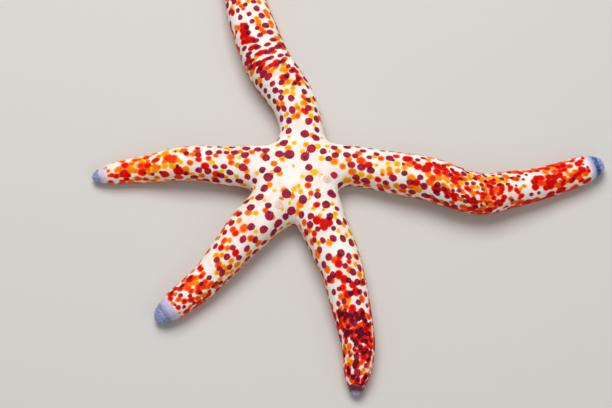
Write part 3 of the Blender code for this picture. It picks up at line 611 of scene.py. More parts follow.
# Warm spots along each arm: length, turn, diameter and warmth
ARM_WARM = {
    "back": (
        (13.6, -59, 1.6, 0.6), (13.6, -28, 1.4, 0.12), (13.9, 20, 1.2, 0.42), (14.0, 9, 1.4, 0.66),
        (14.6, -15, 1.3, 0.9), (14.7, 2, 0.9, 0.2), (15.1, -9, 1.3, 0.88), (15.2, 42, 1.0, 0.2),
        (15.4, 35, 1.0, 0.45), (15.5, -33, 1.3, 0.3), (16.0, 3, 1.2, 0.5), (16.3, 7, 0.9, 0.3),
        (16.6, -20, 1.2, 0.45), (16.9, -12, 1.2, 0.3), (16.9, 4, 0.9, 0.15), (17.2, -43, 1.3, 0.12),
        (17.8, -41, 1.0, 0.15), (17.8, -23, 1.1, 0.8), (18.2, -72, 1.2, 0.6), (18.3, 45, 1.0, 0.62),
        (18.4, -20, 1.2, 0.62), (18.8, 38, 1.2, 0.48), (19.9, 2, 1.2, 0.1), (19.9, 51, 1.3, 0.5),
        (21.1, 14, 1.3, 0.22), (21.1, 22, 0.8, 0.2), (21.2, -5, 1.2, 0.2), (21.3, -44, 1.0, 0.3),
        (21.6, -26, 1.1, 0.97), (21.8, -40, 1.2, 0.25), (22.2, -20, 1.2, 0.97), (22.8, -40, 1.0, 0.9),
        (22.9, 9, 0.9, 0.1), (23.0, -10, 0.8, 0.2), (23.0, -2, 1.2, 0.45), (23.4, -35, 1.2, 0.92),
        (24.2, -4, 1.3, 0.97), (24.6, -40, 1.1, 0.95), (24.7, 2, 1.3, 0.9), (25.4, -36, 1.2, 0.95),
        (25.9, -15, 1.2, 0.35), (26.4, -9, 1.1, 0.3), (27.3, 21, 1.2, 0.38), (27.4, -19, 0.9, 0.4),
        (27.6, 4, 0.9, 0.55), (27.8, 59, 1.4, 0.42), (28.5, -12, 0.8, 0.9), (28.5, 6, 0.9, 0.92),
        (28.6, 26, 1.3, 0.66), (28.7, -30, 1.0, 0.7), (28.7, 11, 1.0, 0.95), (28.8, -5, 1.1, 0.88),
        (29.9, 35, 1.0, 0.95), (30.0, 30, 1.2, 0.97), (30.6, 10, 0.8, 0.95), (30.6, 66, 1.3, 0.4),
        (30.7, 18, 0.8, 0.95), (30.9, 49, 0.9, 0.9), (31.2, 44, 1.3, 0.88), (31.6, -13, 1.0, 0.8),
        (32.1, -49, 1.0, 0.75), (32.1, 73, 1.2, 0.55), (32.3, 31, 0.8, 0.15), (32.6, 6, 1.0, 0.97),
        (32.7, 16, 1.3, 1.0), (32.7, 57, 1.2, 0.97), (32.8, 23, 1.0, 1.0), (33.2, 53, 1.3, 0.97),
        (33.6, -48, 1.5, 0.85), (34.8, 22, 1.2, 1.0), (34.8, 30, 1.2, 1.0), (35.7, -42, 1.3, 0.4),
        (36.7, 23, 1.4, 1.0), (36.9, 88, 1.2, 0.95), (37.0, 33, 1.4, 1.0), (37.1, 78, 1.4, 0.95),
        (37.3, 25, 0.9, 0.95), (37.4, 45, 1.3, 1.0), (37.8, -13, 1.1, 0.72), (38.4, 32, 1.3, 1.0),
        (38.8, -9, 1.1, 0.62), (38.9, 46, 1.0, 0.97), (39.2, -40, 1.0, 0.5), (39.2, 39, 1.4, 1.0),
        (39.9, -6, 1.3, 0.58), (39.9, 28, 1.3, 1.0), (40.3, -42, 1.5, 0.55), (40.6, 38, 1.3, 1.0),
        (40.8, 73, 1.1, 0.6), (41.0, -9, 1.3, 0.42), (41.4, 26, 1.3, 0.97), (41.8, 46, 1.1, 0.6),
        (41.8, 77, 1.1, 0.2), (41.9, 34, 1.1, 0.95), (42.2, -8, 1.1, 0.4), (42.5, -42, 1.5, 0.5),
        (42.5, 53, 1.1, 0.5), (42.8, 82, 1.2, 0.95), (43.8, 85, 1.6, 0.98), (43.9, -42, 1.7, 0.5),
        (46.1, 16, 1.0, 0.72), (46.4, 49, 1.4, 0.97), (47.0, 19, 1.0, 0.65), (47.2, -31, 1.2, 0.5),
        (47.3, 52, 1.4, 0.97), (47.9, -2, 1.0, 0.35), (48.0, 46, 1.0, 0.15), (48.2, 24, 1.3, 0.6),
        (49.8, 73, 1.4, 0.95), (51.2, 89, 1.1, 0.5),
    ),
    "left": (
        (13.8, 20, 1.3, 0.45), (13.6, -3, 0.9, 0.1), (13.6, -23, 1.4, 0.4), (15.4, 13, 1.3, 0.68),
        (15.6, -5, 1.6, 0.62), (14.0, 52, 1.1, 0.1), (16.5, 58, 1.2, 0.3), (17.3, 40, 1.0, 0.1),
        (17.0, -40, 1.3, 0.2), (18.7, 50, 1.6, 0.85), (19.1, -7, 1.2, 0.65), (19.8, 18, 1.1, 0.1),
        (20.7, 5, 1.2, 0.8), (21.5, 30, 1.7, 0.97), (22.3, 65, 1.4, 0.55), (23.1, 10, 1.3, 0.97),
        (23.5, -20, 1.5, 0.75), (24.5, -8, 1.2, 0.45), (25.1, 21, 1.3, 0.7), (26.1, 55, 1.3, 0.85),
        (26.1, 40, 1.4, 0.35), (26.7, -28, 1.7, 0.6), (25.8, -10, 1.1, 0.75), (27.9, 47, 2.2, 0.97),
        (28.0, 78, 1.9, 0.75), (28.5, -30, 1.3, 0.1), (29.2, 3, 2.2, 0.72), (30.4, -6, 1.9, 0.78),
        (31.2, 8, 1.2, 0.5), (31.3, 56, 1.8, 0.92), (29.4, 28, 1.3, 0.2), (31.2, 24, 1.3, 0.15),
        (31.0, -28, 1.7, 0.25), (28.0, 10, 1.2, 0.25), (27.3, 18, 0.9, 0.15), (19.0, 70, 1.5, 0.8),
        (24.8, 60, 1.0, 0.15), (16.0, -30, 0.9, 0.1), (32.5, -21, 1.1, 0.35), (32.8, 25, 1.2, 0.55),
        (33.0, -9, 1.2, 0.92), (33.2, 69, 1.2, 0.5), (33.5, -46, 1.1, 0.5), (33.5, 34, 1.5, 0.3),
        (33.6, -4, 1.2, 0.92), (33.7, 18, 1.0, 0.5), (34.5, -37, 1.0, 0.3), (34.9, 44, 1.1, 0.35),
        (35.2, 28, 1.1, 0.6), (35.3, -7, 1.0, 0.5), (35.3, 11, 1.6, 0.92), (35.5, -32, 1.5, 0.82),
        (35.9, 74, 1.2, 0.92), (36.6, -11, 1.0, 0.3), (36.7, 35, 1.8, 0.92), (36.9, 5, 1.5, 0.82),
        (37.3, -28, 1.1, 0.65), (37.6, 4, 0.8, 0.2), (37.8, -57, 1.0, 0.6), (37.9, 66, 1.5, 0.65),
        (38.2, -29, 1.3, 0.65), (38.3, 26, 1.0, 0.45), (39.0, -10, 1.1, 0.5), (39.3, 18, 1.6, 0.4),
        (39.6, 83, 1.3, 0.5), (40.2, 42, 1.2, 0.97), (40.6, -9, 1.6, 0.92), (40.7, 63, 1.2, 0.97),
        (41.1, -41, 1.2, 0.65), (41.1, 31, 2.0, 0.93), (41.8, 78, 1.2, 0.75), (42.1, 4, 1.3, 0.5),
        (42.8, 10, 0.9, 0.45), (43.0, 39, 1.2, 0.92), (43.2, -54, 0.6, 0.4), (44.0, 31, 1.0, 0.85),
        (44.5, 78, 1.1, 0.9), (44.7, 31, 0.8, 0.75), (44.7, 2, 0.9, 0.6),
    ),
    "front_left": (
        (19.2, 2, 1.9, 0.58), (18.4, -22, 1.3, 0.4), (19.9, 34, 1.5, 0.68), (19.3, 62, 1.6, 0.5),
        (21.3, -7, 1.5, 0.88), (20.9, -21, 1.4, 0.7), (17.2, -48, 1.6, 0.7), (18.0, 31, 1.0, 0.1),
        (19.6, -50, 1.5, 0.65), (23.4, -8, 1.1, 0.4), (24.1, -21, 1.4, 0.7), (24.8, 29, 1.5, 0.97),
        (25.8, -16, 1.4, 0.97), (25.1, 2, 1.2, 0.55), (22.5, 65, 1.5, 0.35), (27.1, 1, 1.1, 0.4),
        (29.2, 12, 1.4, 0.65), (28.9, 29, 1.1, 0.3), (24.0, -48, 1.2, 0.35), (26.3, 62, 1.5, 0.4),
        (28.0, -14, 1.2, 0.3), (26.8, 36, 1.2, 0.35), (32.3, -38, 1.1, 0.97), (32.5, -26, 1.1, 0.92),
        (33.0, -6, 1.0, 0.7), (33.2, 40, 1.2, 0.7), (33.7, -5, 1.1, 0.97), (34.0, 20, 1.2, 0.78),
        (35.0, -16, 1.3, 0.6), (35.6, 0, 1.2, 0.3), (35.7, 16, 1.3, 0.82), (35.9, -29, 1.9, 0.97),
        (36.2, -61, 1.2, 0.6), (36.3, -9, 1.1, 0.5), (37.3, -46, 1.0, 0.55), (37.6, -22, 1.3, 0.7),
        (37.7, -7, 1.4, 0.65), (38.6, -63, 0.9, 0.5), (39.0, -24, 1.3, 0.95), (40.0, -41, 1.2, 0.95),
        (40.8, -18, 0.8, 0.6), (41.5, -33, 1.4, 0.97), (41.9, -61, 1.0, 0.9), (28.6, 40, 1.1, 0.4),
        (28.1, 66, 1.1, 0.3), (29.2, 55, 1.0, 0.35), (30.7, 26, 1.0, 0.3), (31.2, 52, 1.1, 0.35),
        (32.6, 66, 1.1, 0.6), (34.1, 40, 1.2, 0.65), (34.9, 28, 1.2, 0.8), (35.8, 56, 1.1, 0.5),
        (36.4, 30, 1.2, 0.9), (37.3, 50, 1.1, 0.7), (37.6, 12, 1.1, 0.85), (38.7, 38, 1.3, 0.9),
        (39.8, 62, 1.0, 0.6), (40.2, 28, 1.1, 0.95), (41.0, 8, 1.1, 0.7), (42.2, 34, 1.1, 0.9),
        (42.8, 58, 0.9, 0.6),
    ),
    "front": (
        (15.8, 5, 2.1, 1.0), (16.4, -9, 2.0, 1.0), (14.4, -20, 2.0, 1.0), (15.3, -8, 1.6, 1.0),
        (16.9, -38, 1.4, 0.88), (18.1, -56, 1.5, 0.7), (17.2, 42, 1.4, 0.3), (19.4, -38, 1.2, 0.2),
        (13.6, -54, 1.5, 0.65), (15.6, -48, 1.5, 0.5), (20.5, -13, 1.5, 0.35), (18.6, 20, 1.0, 0.15),
        (19.2, 56, 1.7, 0.2), (20.0, 36, 1.1, 0.25), (15.2, 26, 0.9, 0.15), (24.5, -3, 1.4, 0.92),
        (26.0, -10, 1.8, 1.0), (24.9, -18, 1.4, 0.65), (26.3, -45, 1.6, 0.5), (26.2, 18, 1.1, 0.92),
        (28.1, 13, 1.4, 0.65), (27.0, 35, 1.1, 0.3), (25.0, 38, 1.0, 0.25), (29.3, 40, 1.4, 0.45),
        (28.6, -18, 1.8, 0.97), (30.0, -6, 1.7, 0.97), (31.6, 13, 1.5, 0.97), (31.8, -15, 1.4, 0.85),
        (31.2, 41, 1.4, 0.85), (33.2, 18, 1.7, 0.95), (33.6, -8, 1.8, 1.0), (21.5, -56, 1.9, 0.45),
        (29.1, -42, 1.6, 0.75), (33.6, -28, 1.2, 0.6), (34.9, -10, 1.2, 0.35), (29.6, 62, 1.3, 0.3),
        (35.0, 33, 1.4, 0.7), (36.0, -20, 1.2, 0.7), (36.2, -37, 1.1, 0.5), (36.2, 57, 0.8, 0.6),
        (36.6, -51, 1.0, 0.9), (36.8, -2, 1.6, 0.95), (38.0, -48, 1.1, 0.95), (38.7, 38, 1.1, 0.55),
        (39.0, 47, 1.0, 0.85), (39.1, -49, 1.1, 0.95), (39.2, -38, 0.8, 0.6), (39.5, -21, 1.0, 0.5),
        (40.3, -40, 0.7, 0.55), (40.3, -18, 1.1, 0.9), (40.4, 22, 1.0, 0.9), (40.7, 15, 1.0, 0.5),
        (41.3, -5, 1.3, 0.65), (41.5, 29, 1.6, 1.0), (41.7, 49, 0.7, 0.5), (41.9, -16, 1.3, 1.0),
        (41.9, 2, 1.6, 1.0), (41.9, 16, 1.2, 1.0), (42.6, -20, 1.2, 0.85), (43.3, 23, 1.0, 0.95),
        (43.4, 40, 1.2, 0.95), (43.6, 9, 1.7, 1.0), (43.7, -9, 1.4, 1.0), (44.8, -57, 1.0, 0.6),
        (44.9, -8, 1.2, 1.0), (45.0, 34, 1.1, 0.97), (45.2, -33, 1.2, 0.6), (45.9, 22, 1.2, 1.0),
        (46.1, 9, 1.4, 1.0), (46.5, 55, 0.7, 0.5), (46.5, -7, 1.0, 0.9), (46.9, 41, 1.2, 0.95),
        (47.3, 18, 1.6, 1.0), (47.8, 24, 1.1, 0.95), (48.1, -40, 0.8, 0.3), (48.3, -70, 1.0, 0.9),
        (48.8, 13, 1.0, 0.75), (49.3, -8, 1.8, 1.0), (49.3, 42, 1.0, 0.6), (49.4, -37, 1.2, 0.6),
        (49.7, 63, 0.7, 0.5), (51.0, 60, 1.0, 0.8), (51.1, 15, 1.0, 0.6), (52.4, 38, 1.3, 0.95),
        (52.6, -28, 1.2, 0.65), (52.8, 0, 1.4, 0.97), (53.7, 28, 1.1, 0.95), (53.8, -5, 1.4, 0.97),
        # From here the front arm's rows are its densest and reddest, and dots over them turn dark maroon:
        # partly the arm's own heavy cover and partly painted shade over its outer half
        (37.1, -42, 1.4, 1.0), (37.7, -6, 1.7, 1.0), (37.8, 24, 1.4, 1.0), (38.2, -26, 1.7, 1.0),
        (38.7, 9, 1.7, 1.0), (39.0, -11, 1.4, 0.95), (39.3, 29, 1.2, 0.97), (39.4, -33, 1.2, 0.8),
        (40.1, -50, 1.2, 0.9), (41.0, 44, 1.2, 0.97), (41.0, 8, 1.2, 0.9), (41.2, -31, 1.2, 0.95),
        (42.2, -35, 1.2, 0.95), (42.5, -49, 0.8, 0.7), (42.6, 44, 1.0, 0.95), (43.8, 52, 0.8, 0.9),
        (44.1, 29, 1.1, 0.97), (45.3, 46, 1.0, 0.97), (45.6, -54, 0.8, 0.9), (46.4, -46, 0.8, 0.6),
        (47.0, -25, 0.8, 0.6), (47.7, 37, 1.0, 0.9), (48.5, 42, 0.9, 0.8), (48.7, -28, 0.8, 0.6),
        (49.7, -57, 1.0, 0.85), (50.3, -40, 1.2, 0.95), (50.4, 26, 0.8, 0.5), (51.4, 42, 1.2, 0.9),
        (51.4, -43, 1.3, 0.95), (52.1, -20, 1.2, 0.95),
    ),
    "right": (
        (11.5, -68, 2.0, 0.2), (13.9, -40, 1.7, 0.55), (14.9, 18, 1.5, 0.62), (15.4, -76, 1.7, 0.8),
        (15.7, -5, 1.9, 0.68), (16.3, -45, 1.5, 0.15), (17.7, -14, 1.7, 0.95), (18.2, -84, 1.7, 0.6),
        (18.6, -48, 1.5, 0.2), (18.6, 16, 1.2, 0.15), (19.5, -10, 0.9, 0.25), (20.2, 13, 1.4, 0.68),
        (20.5, -50, 1.4, 0.97), (21.2, -24, 1.1, 0.12), (21.3, -73, 1.6, 0.6), (21.3, -33, 0.9, 0.8),
        (22.0, 1, 1.0, 0.1), (22.6, -15, 1.3, 0.35), (22.9, -71, 1.6, 0.5), (23.0, -27, 1.3, 0.65),
        (23.6, 28, 1.4, 0.85), (24.1, 4, 1.4, 0.18), (24.6, -16, 1.2, 0.3), (25.0, -59, 1.4, 0.4),
        (26.0, -5, 1.2, 0.3), (26.3, 24, 2.1, 0.97), (26.6, -74, 1.7, 0.65), (26.9, 6, 1.4, 0.45),
        (27.9, 12, 1.2, 0.97), (28.0, -29, 1.7, 0.3), (28.3, -53, 1.6, 0.5), (29.0, 4, 1.6, 0.97),
        (29.3, -40, 1.8, 0.97), (30.1, -60, 1.7, 0.25), (30.8, 35, 1.2, 0.35), (31.0, 2, 2.0, 1.0),
        (31.4, 17, 1.6, 0.97), (31.8, -12, 1.1, 0.3), (32.7, -30, 1.5, 0.6), (33.1, -18, 1.5, 0.8),
        (33.2, 20, 1.6, 0.97), (33.6, 3, 1.5, 0.97), (34.0, 17, 1.3, 0.95), (34.3, -2, 0.9, 0.88),
        (34.4, -12, 1.6, 0.35), (34.7, -12, 1.0, 0.5), (34.8, -43, 1.9, 0.97), (35.1, 18, 1.2, 0.95),
        (35.1, 38, 1.2, 0.75), (35.3, 6, 1.1, 0.95), (35.7, -31, 0.7, 0.5), (35.8, 14, 0.9, 0.9),
        (35.9, -9, 0.9, 0.32), (36.1, -26, 1.0, 0.6), (36.3, 2, 1.0, 0.93), (36.7, -13, 0.9, 0.32),
        (37.0, -27, 0.6, 0.3), (37.1, -111, 1.2, 0.5), (37.3, -34, 1.0, 0.92), (37.3, 20, 1.1, 0.95),
        (37.4, -42, 1.2, 0.97), (37.6, 2, 1.2, 1.0), (37.8, -7, 1.1, 1.0), (37.9, 18, 1.3, 0.97),
        (38.0, -21, 1.0, 0.35), (38.4, 2, 1.2, 1.0), (38.5, -10, 1.0, 0.97), (38.5, 15, 0.9, 0.95),
        (38.7, -44, 1.3, 1.0), (39.0, -68, 1.1, 0.72), (39.2, 17, 0.9, 0.6), (39.4, -53, 1.2, 1.0),
        (39.4, -42, 1.1, 0.97), (39.4, -17, 0.9, 0.76), (39.8, -5, 1.0, 0.25), (40.1, 9, 1.2, 0.66),
        (40.4, -27, 1.0, 0.6), (40.6, -49, 1.0, 0.5), (40.9, 24, 1.1, 0.3), (41.3, -109, 1.4, 0.85),
        (41.3, -15, 1.1, 1.0), (41.3, 35, 0.8, 0.2), (41.5, 16, 1.1, 0.38), (41.7, -37, 1.1, 1.0),
        (41.9, -17, 1.0, 1.0), (42.2, -42, 0.9, 0.97), (42.4, -6, 0.9, 0.52), (42.5, -23, 0.9, 0.52),
        (42.7, -48, 1.3, 1.0), (42.9, -28, 0.8, 0.5), (42.9, 31, 1.1, 0.82), (43.4, -60, 1.1, 1.0),
        (43.4, -48, 1.3, 1.0), (43.5, -20, 0.8, 0.95), (43.5, -5, 0.9, 0.35), (43.6, 24, 1.0, 0.8),
        (44.3, -45, 0.8, 0.9), (44.3, 16, 0.9, 0.42), (44.4, -70, 0.9, 0.7), (44.6, -39, 0.7, 0.6),
        (44.6, -24, 1.1, 1.0), (44.6, 27, 1.1, 0.35), (44.7, -33, 1.0, 0.97), (44.8, -62, 1.1, 0.56),
        (45.0, -2, 0.7, 0.5), (45.2, -44, 0.7, 0.85), (45.2, -24, 1.0, 0.97), (45.3, -12, 0.8, 0.5),
        (45.5, 29, 1.0, 0.3), (45.6, -35, 0.9, 0.55), (45.6, -27, 0.6, 0.5), (45.7, 13, 1.0, 0.95),
        (45.9, -46, 0.8, 0.95), (46.0, -57, 1.1, 0.4), (46.0, 2, 1.1, 1.0), (46.5, -22, 1.1, 1.0),
        (46.6, -13, 1.1, 0.97), (46.6, 29, 1.0, 0.3), (46.7, -35, 1.1, 1.0), (46.8, -70, 1.0, 0.95),
        (46.9, -54, 1.2, 0.95), (47.0, 16, 1.1, 0.97), (47.3, -17, 0.7, 0.6), (47.4, -49, 1.1, 0.95),
        (47.4, 9, 1.1, 1.0), (47.6, -9, 1.1, 0.7), (47.8, -61, 1.2, 0.97), (47.8, -26, 0.9, 0.95),
        (48.2, 32, 1.0, 0.35), (48.4, -49, 1.2, 1.0), (48.5, -22, 1.0, 1.0), (48.5, 60, 1.3, 0.7),
        (48.7, 13, 1.0, 0.35), (48.8, 26, 1.0, 0.3), (48.9, -40, 1.2, 1.0), (48.9, -14, 1.2, 1.0),
        (49.0, -81, 1.1, 0.6), (49.1, -4, 1.1, 1.0), (50.4, 9, 1.1, 0.3), (50.5, -49, 0.9, 0.7),
        (50.7, -22, 0.8, 0.9), (50.8, 27, 1.2, 0.55), (50.9, -68, 0.9, 0.76), (51.0, -15, 1.1, 0.97),
        (51.1, 20, 1.0, 0.6), (51.6, -65, 0.8, 0.6), (52.4, -26, 1.0, 0.97), (52.5, 13, 1.2, 0.82),
        (52.7, -33, 0.9, 0.95), (52.7, 39, 0.9, 0.15), (52.8, -53, 0.8, 0.95), (53.2, 9, 1.1, 0.76),
        (53.3, -48, 1.2, 0.97), (53.5, -24, 0.7, 0.4), (54.0, 40, 1.3, 0.86), (54.0, 58, 1.0, 0.7),
        (54.4, -18, 0.8, 0.5), (54.7, 33, 1.2, 0.95), (57.0, -28, 1.5, 1.0), (57.2, -10, 1.6, 1.0),
        (58.0, 2, 1.4, 1.0), (58.7, -20, 1.3, 0.75), (59.1, -2, 1.4, 0.9), (59.5, -39, 1.4, 1.0),
        (60.5, -24, 1.7, 1.0), (60.6, 18, 1.2, 0.45), (60.7, -39, 1.4, 1.0), (60.9, -4, 1.4, 1.0),
        (61.5, 33, 1.5, 0.95), (61.6, -26, 1.5, 1.0), (62.3, -11, 1.5, 1.0), (62.5, -42, 1.5, 0.6),
        (62.8, 11, 1.2, 0.7), (62.8, 31, 1.1, 0.3), (63.6, -42, 1.4, 0.97), (63.6, -9, 1.4, 0.97),
        (63.7, 59, 1.2, 0.95), (64.1, 7, 1.1, 0.9), (64.2, -24, 1.1, 0.8), (64.2, 27, 1.4, 0.97),
        (64.9, -37, 1.2, 0.6), (65.2, 7, 1.1, 1.0), (65.2, 60, 1.4, 0.97), (65.4, 25, 1.4, 1.0),
        (65.6, -12, 0.9, 0.35), (65.9, -42, 1.4, 0.97), (66.3, -23, 1.1, 0.6), (66.8, 15, 1.2, 0.85),
        (67.0, -31, 1.4, 0.97), (67.4, -13, 1.0, 0.5), (68.0, -42, 1.4, 0.6), (68.1, -26, 1.4, 1.0),
        (68.3, -58, 1.2, 0.95), (68.9, 53, 1.0, 0.8), (69.0, -11, 1.2, 0.95), (69.0, 14, 1.5, 0.95),
        (69.4, -20, 1.4, 0.97), (69.8, -40, 1.0, 0.6), (69.8, 22, 1.1, 0.9), (70.8, -31, 1.0, 0.97),
        (70.9, 36, 1.0, 0.95), (53.3, 40, 1.2, 0.65), (54.6, 36, 1.0, 0.9), (56.0, 44, 1.2, 0.55),
        (57.2, 36, 1.2, 0.9), (58.4, 46, 1.2, 0.7), (58.9, 34, 1.2, 0.95), (60.2, 42, 1.3, 0.85),
        (61.5, 36, 1.1, 0.6), (62.4, 48, 1.2, 0.95), (63.2, 38, 1.2, 0.9), (64.5, 46, 1.2, 0.7),
        (65.6, 36, 1.2, 0.95), (66.8, 46, 1.1, 0.6), (68.0, 38, 1.1, 0.9),
    ),
}

# Where the markings above end along each arm, and the turns between which they were read
READ = {
    "back": (49.5, -58, 96),
    "left": (45.2, -52, 88),
    "front_left": (42.0, -55, 70),
    "front": (54.0, -62, 62),
    "right": (71.0, -72, 52),
}
READ_DISC = 13.0
READ_DISC_TURN = 75

# How the rest is filled. Each row is a length along an arm, the dots' diameter there and how many
# diameters they keep apart, the warm spots' diameter and how many they keep apart, and their warmth
DOT_COLUMN = 1
WARM_COLUMN = 3
WARMTH_COLUMN = 5
FILL = {
    "back": ((0, 1.8, 1.6, 1.4, 1.5, 0.3), (30, 1.5, 1.6, 1.6, 1.2, 0.6), (56, 1.5, 1.5, 1.8, 1.05, 0.75),
             (64, 1.1, 1.9, 1.9, 0.85, 0.9), (70, 0.8, 3.0, 1.4, 0.8, 0.8)),
    "left": ((0, 1.8, 1.6, 1.4, 1.5, 0.3), (25, 1.4, 1.7, 1.5, 1.2, 0.6), (30, 0.9, 3.5, 1.5, 0.8, 0.5),
             (42, 0.8, 4.5, 1.5, 0.75, 0.6), (49, 0.7, 9.0, 1.2, 0.9, 0.7)),
    "front_left": ((0, 1.8, 1.6, 1.4, 1.5, 0.3), (28, 1.4, 1.6, 1.5, 1.1, 0.6),
                   (38, 1.1, 1.8, 1.7, 0.9, 0.8), (47, 0.8, 3.0, 1.3, 0.85, 0.8)),
    # The front arm asks for denser and redder spots from 38 mm: partly its own heavy cover and partly painted
    # shade over its outer half
    "front": ((0, 1.8, 1.6, 1.4, 1.5, 0.3), (30, 1.5, 1.6, 1.5, 1.2, 0.6), (38, 1.3, 1.5, 2.0, 0.8, 0.95),
              (47, 1.1, 1.7, 2.0, 0.85, 0.95), (56, 0.8, 3.0, 1.4, 0.9, 0.9)),
    "right": ((0, 1.8, 1.6, 1.4, 1.5, 0.3), (34, 1.5, 1.6, 1.7, 1.1, 0.7), (44, 0.9, 1.9, 1.8, 0.85, 0.9),
              (56, 0.8, 2.6, 2.1, 0.9, 0.92), (68, 0.8, 5.0, 2.4, 0.85, 0.97), (76, 0.7, 9.0, 1.6, 0.9, 0.9)),
}
FILL_SEED = 23
FILL_TRIES = 16000
FILL_SIZES = (0.8, 1.15)
FILL_WARM_FROM_DOTS = 0.35
WARMTH_SPREAD = 0.3

# Underneath, past this turn, spots are smaller and farther apart
UNDER_TURN = 118
UNDER_SIZE = 0.8
UNDER_APART = 1.5

# A spot's length along the arm and its breadth across it, in diameters. Where the back arm's folds
# press them together spots are broader: the middle and the reach of that stretch, how much broader
# they are, and the power of this breadth by which they are shorter
SPOT_ALONG = 1.16
SPOT_ACROSS = 1.0
PRESSED = ("back", 31.0, 6.5, 0.9)
PRESSED_ALONG = 0.25

# How far the edges of dots and of warm spots wander, over what distance, and over what share of it
# those of warm spots do; over what distance the warm colours blend; and how far they bleed past
# their spots, up to the first of two lengths along the arms and from the second on
DOT_WANDER = 0.07
WARM_WANDER = 0.045
WANDER_SIZE = 1.5
WARM_WANDER_SIZE = 0.7
WARM_BLEND = 0.16
WARM_BLEED = (0.05, 0.13)
WARM_BLEED_LENGTHS = (16.0, 32.0)

# How far a marking is felt, and the heights between which the disc's upper side is looked for
FAR = 3.0
DISC_HEIGHTS = (2.0, 14.0)


def on_disc(x, y):
    """Point of the disc's upper side over each x and y, by halving an upright line."""
    low = np.full(len(x), DISC_HEIGHTS[0])
    high = np.full(len(x), DISC_HEIGHTS[1])
    for _ in range(SOLVE_STEPS):
        middle = (low + high) / 2
        inside = outside(np.stack([x, y, middle], axis=1)) < 0
        low = np.where(inside, middle, low)
        high = np.where(inside, high, middle)
    return np.stack([x, y, (low + high) / 2], axis=1)


def heading_at(name, length):
    """Level direction in which an arm runs at a length."""
    line, _, _, angles = ARMS[name]["axis"]
    angle = np.interp(length, line, angles)
    return np.array([math.cos(angle), math.sin(angle), 0.0])


def arm_spot(name, length, turn, diameter, warmth):
    """A spot on an arm: its middle, the arm and length, the way along it and its two half sizes."""
    pressed = 1.0
    if name == PRESSED[0]:
        pressed += PRESSED[3] * math.exp(-(((length - PRESSED[1]) / PRESSED[2]) ** 2))
    return {
        "middle": between(ARMS[name], ARMS[name]["grid"], length, turn),
        "arm": name,
        "length": length,
        "way": heading_at(name, length),
        "along": diameter / 2 * SPOT_ALONG / pressed**PRESSED_ALONG,
        "across": diameter / 2 * SPOT_ACROSS * pressed,
        "warmth": warmth,
    }


def disc_spots(rows):
    """Round spots on the disc's upper side from rows of x, y, diameter and, for warm ones, warmth."""
    middles = on_disc(np.array([row[0] for row in rows]), np.array([row[1] for row in rows]))
    spots = []
    for row, middle in zip(rows, middles):
        spots.append({
            "middle": middle,
            "arm": "back",
            "length": 0.0,
            "way": np.array([1.0, 0.0, 0.0]),
            "along": row[2] / 2,
            "across": row[2] / 2,
            "warmth": row[3] if len(row) > 3 else 0.0,
        })
    return spots


def is_read(name, length, turn):
    """Whether the markings read off the animal cover this place."""
    end, low, high = READ[name]
    if length < READ_DISC:
        return abs(turn) < READ_DISC_TURN
    return length < end and low < turn < high


def fill(spots, column, seed, others, reach_others):
    """Adds seeded spots where none were read, as the table FILL asks: as many mean diameters apart as
    it says, and reach_others mean diameters from the other kind."""
    draw = np.random.default_rng(seed)
    middles = np.zeros((FILL_TRIES, 3))
    sizes = np.zeros(FILL_TRIES)
    apart = np.zeros(FILL_TRIES)
    count = 0
    for spot in (*others, *spots):
        middles[count] = spot["middle"]
        sizes[count] = spot["along"] + spot["across"]
        apart[count] = reach_others
        count += 1
    first_own = len(others)
    for name, length, turn in random_places(seed, FILL_TRIES):
        if is_read(name, length, turn):
            continue
        table = np.array(FILL[name])
        size = np.interp(length, table[:, 0], table[:, column]) * draw.uniform(*FILL_SIZES)
        apart[first_own:count] = np.interp(length, table[:, 0], table[:, column + 1])
        if abs(turn) > UNDER_TURN:
            size *= UNDER_SIZE
            apart[first_own:count] *= UNDER_APART
        warmth = np.interp(length, table[:, 0], table[:, WARMTH_COLUMN])
        warmth = np.clip(warmth + draw.uniform(-WARMTH_SPREAD, WARMTH_SPREAD), 0.0, 1.0)
        middle = between(ARMS[name], ARMS[name]["grid"], length, turn)
        away = np.linalg.norm(middles[:count] - middle, axis=1)
        if np.all(away > apart[:count] * (sizes[:count] + size) / 2):
            spots.append(arm_spot(name, length, turn, size, warmth))
            middles[count] = middle
            sizes[count] = size
            count += 1


def spot_distances(spot, chosen):
    """How far the chosen points of the skin lie outside a spot, an ellipse along and across the arm:
    the root of the sum of squares of both distances over its half sizes, less one, in millimetres."""
    off = rest_points[chosen] - spot["middle"]
    along = off @ spot["way"]
    across = np.maximum(np.sum(off * off, axis=1) - along**2, 0.0)
    share = np.sqrt((along / spot["along"]) ** 2 + across / spot["across"] ** 2)
    return (share - 1.0) * math.sqrt(spot["along"] * spot["across"])


rest_points = np.concatenate([arm["grid"].reshape(-1, 3) for arm in ARMS.values()])
dots = disc_spots(DISC_DOTS)
warm_spots = disc_spots(DISC_WARM)
for name in ARMS:
    dots += [arm_spot(name, length, turn, diameter, 0.0) for length, turn, diameter in ARM_DOTS[name]]
    warm_spots += [arm_spot(name, *row) for row in ARM_WARM[name]]
fill(dots, DOT_COLUMN, FILL_SEED, [], 0.0)
fill(warm_spots, WARM_COLUMN, FILL_SEED + 1, dots, FILL_WARM_FROM_DOTS)

tones = np.random.default_rng(FILL_SEED)
dot_edge = np.full(len(rest_points), FAR)
dot_tone = np.zeros(len(rest_points))
for spot in dots:
    chosen = rings_near(spot["arm"], spot["length"], spot["across"] + FAR)
    away = spot_distances(spot, chosen)
    closer = away < dot_edge[chosen]
    dot_tone[chosen] = np.where(closer, tones.uniform(), dot_tone[chosen])
    dot_edge[chosen] = np.minimum(dot_edge[chosen], away)
dot_edge += DOT_WANDER * wavering(rest_points, WANDER_SIZE, FILL_SEED)

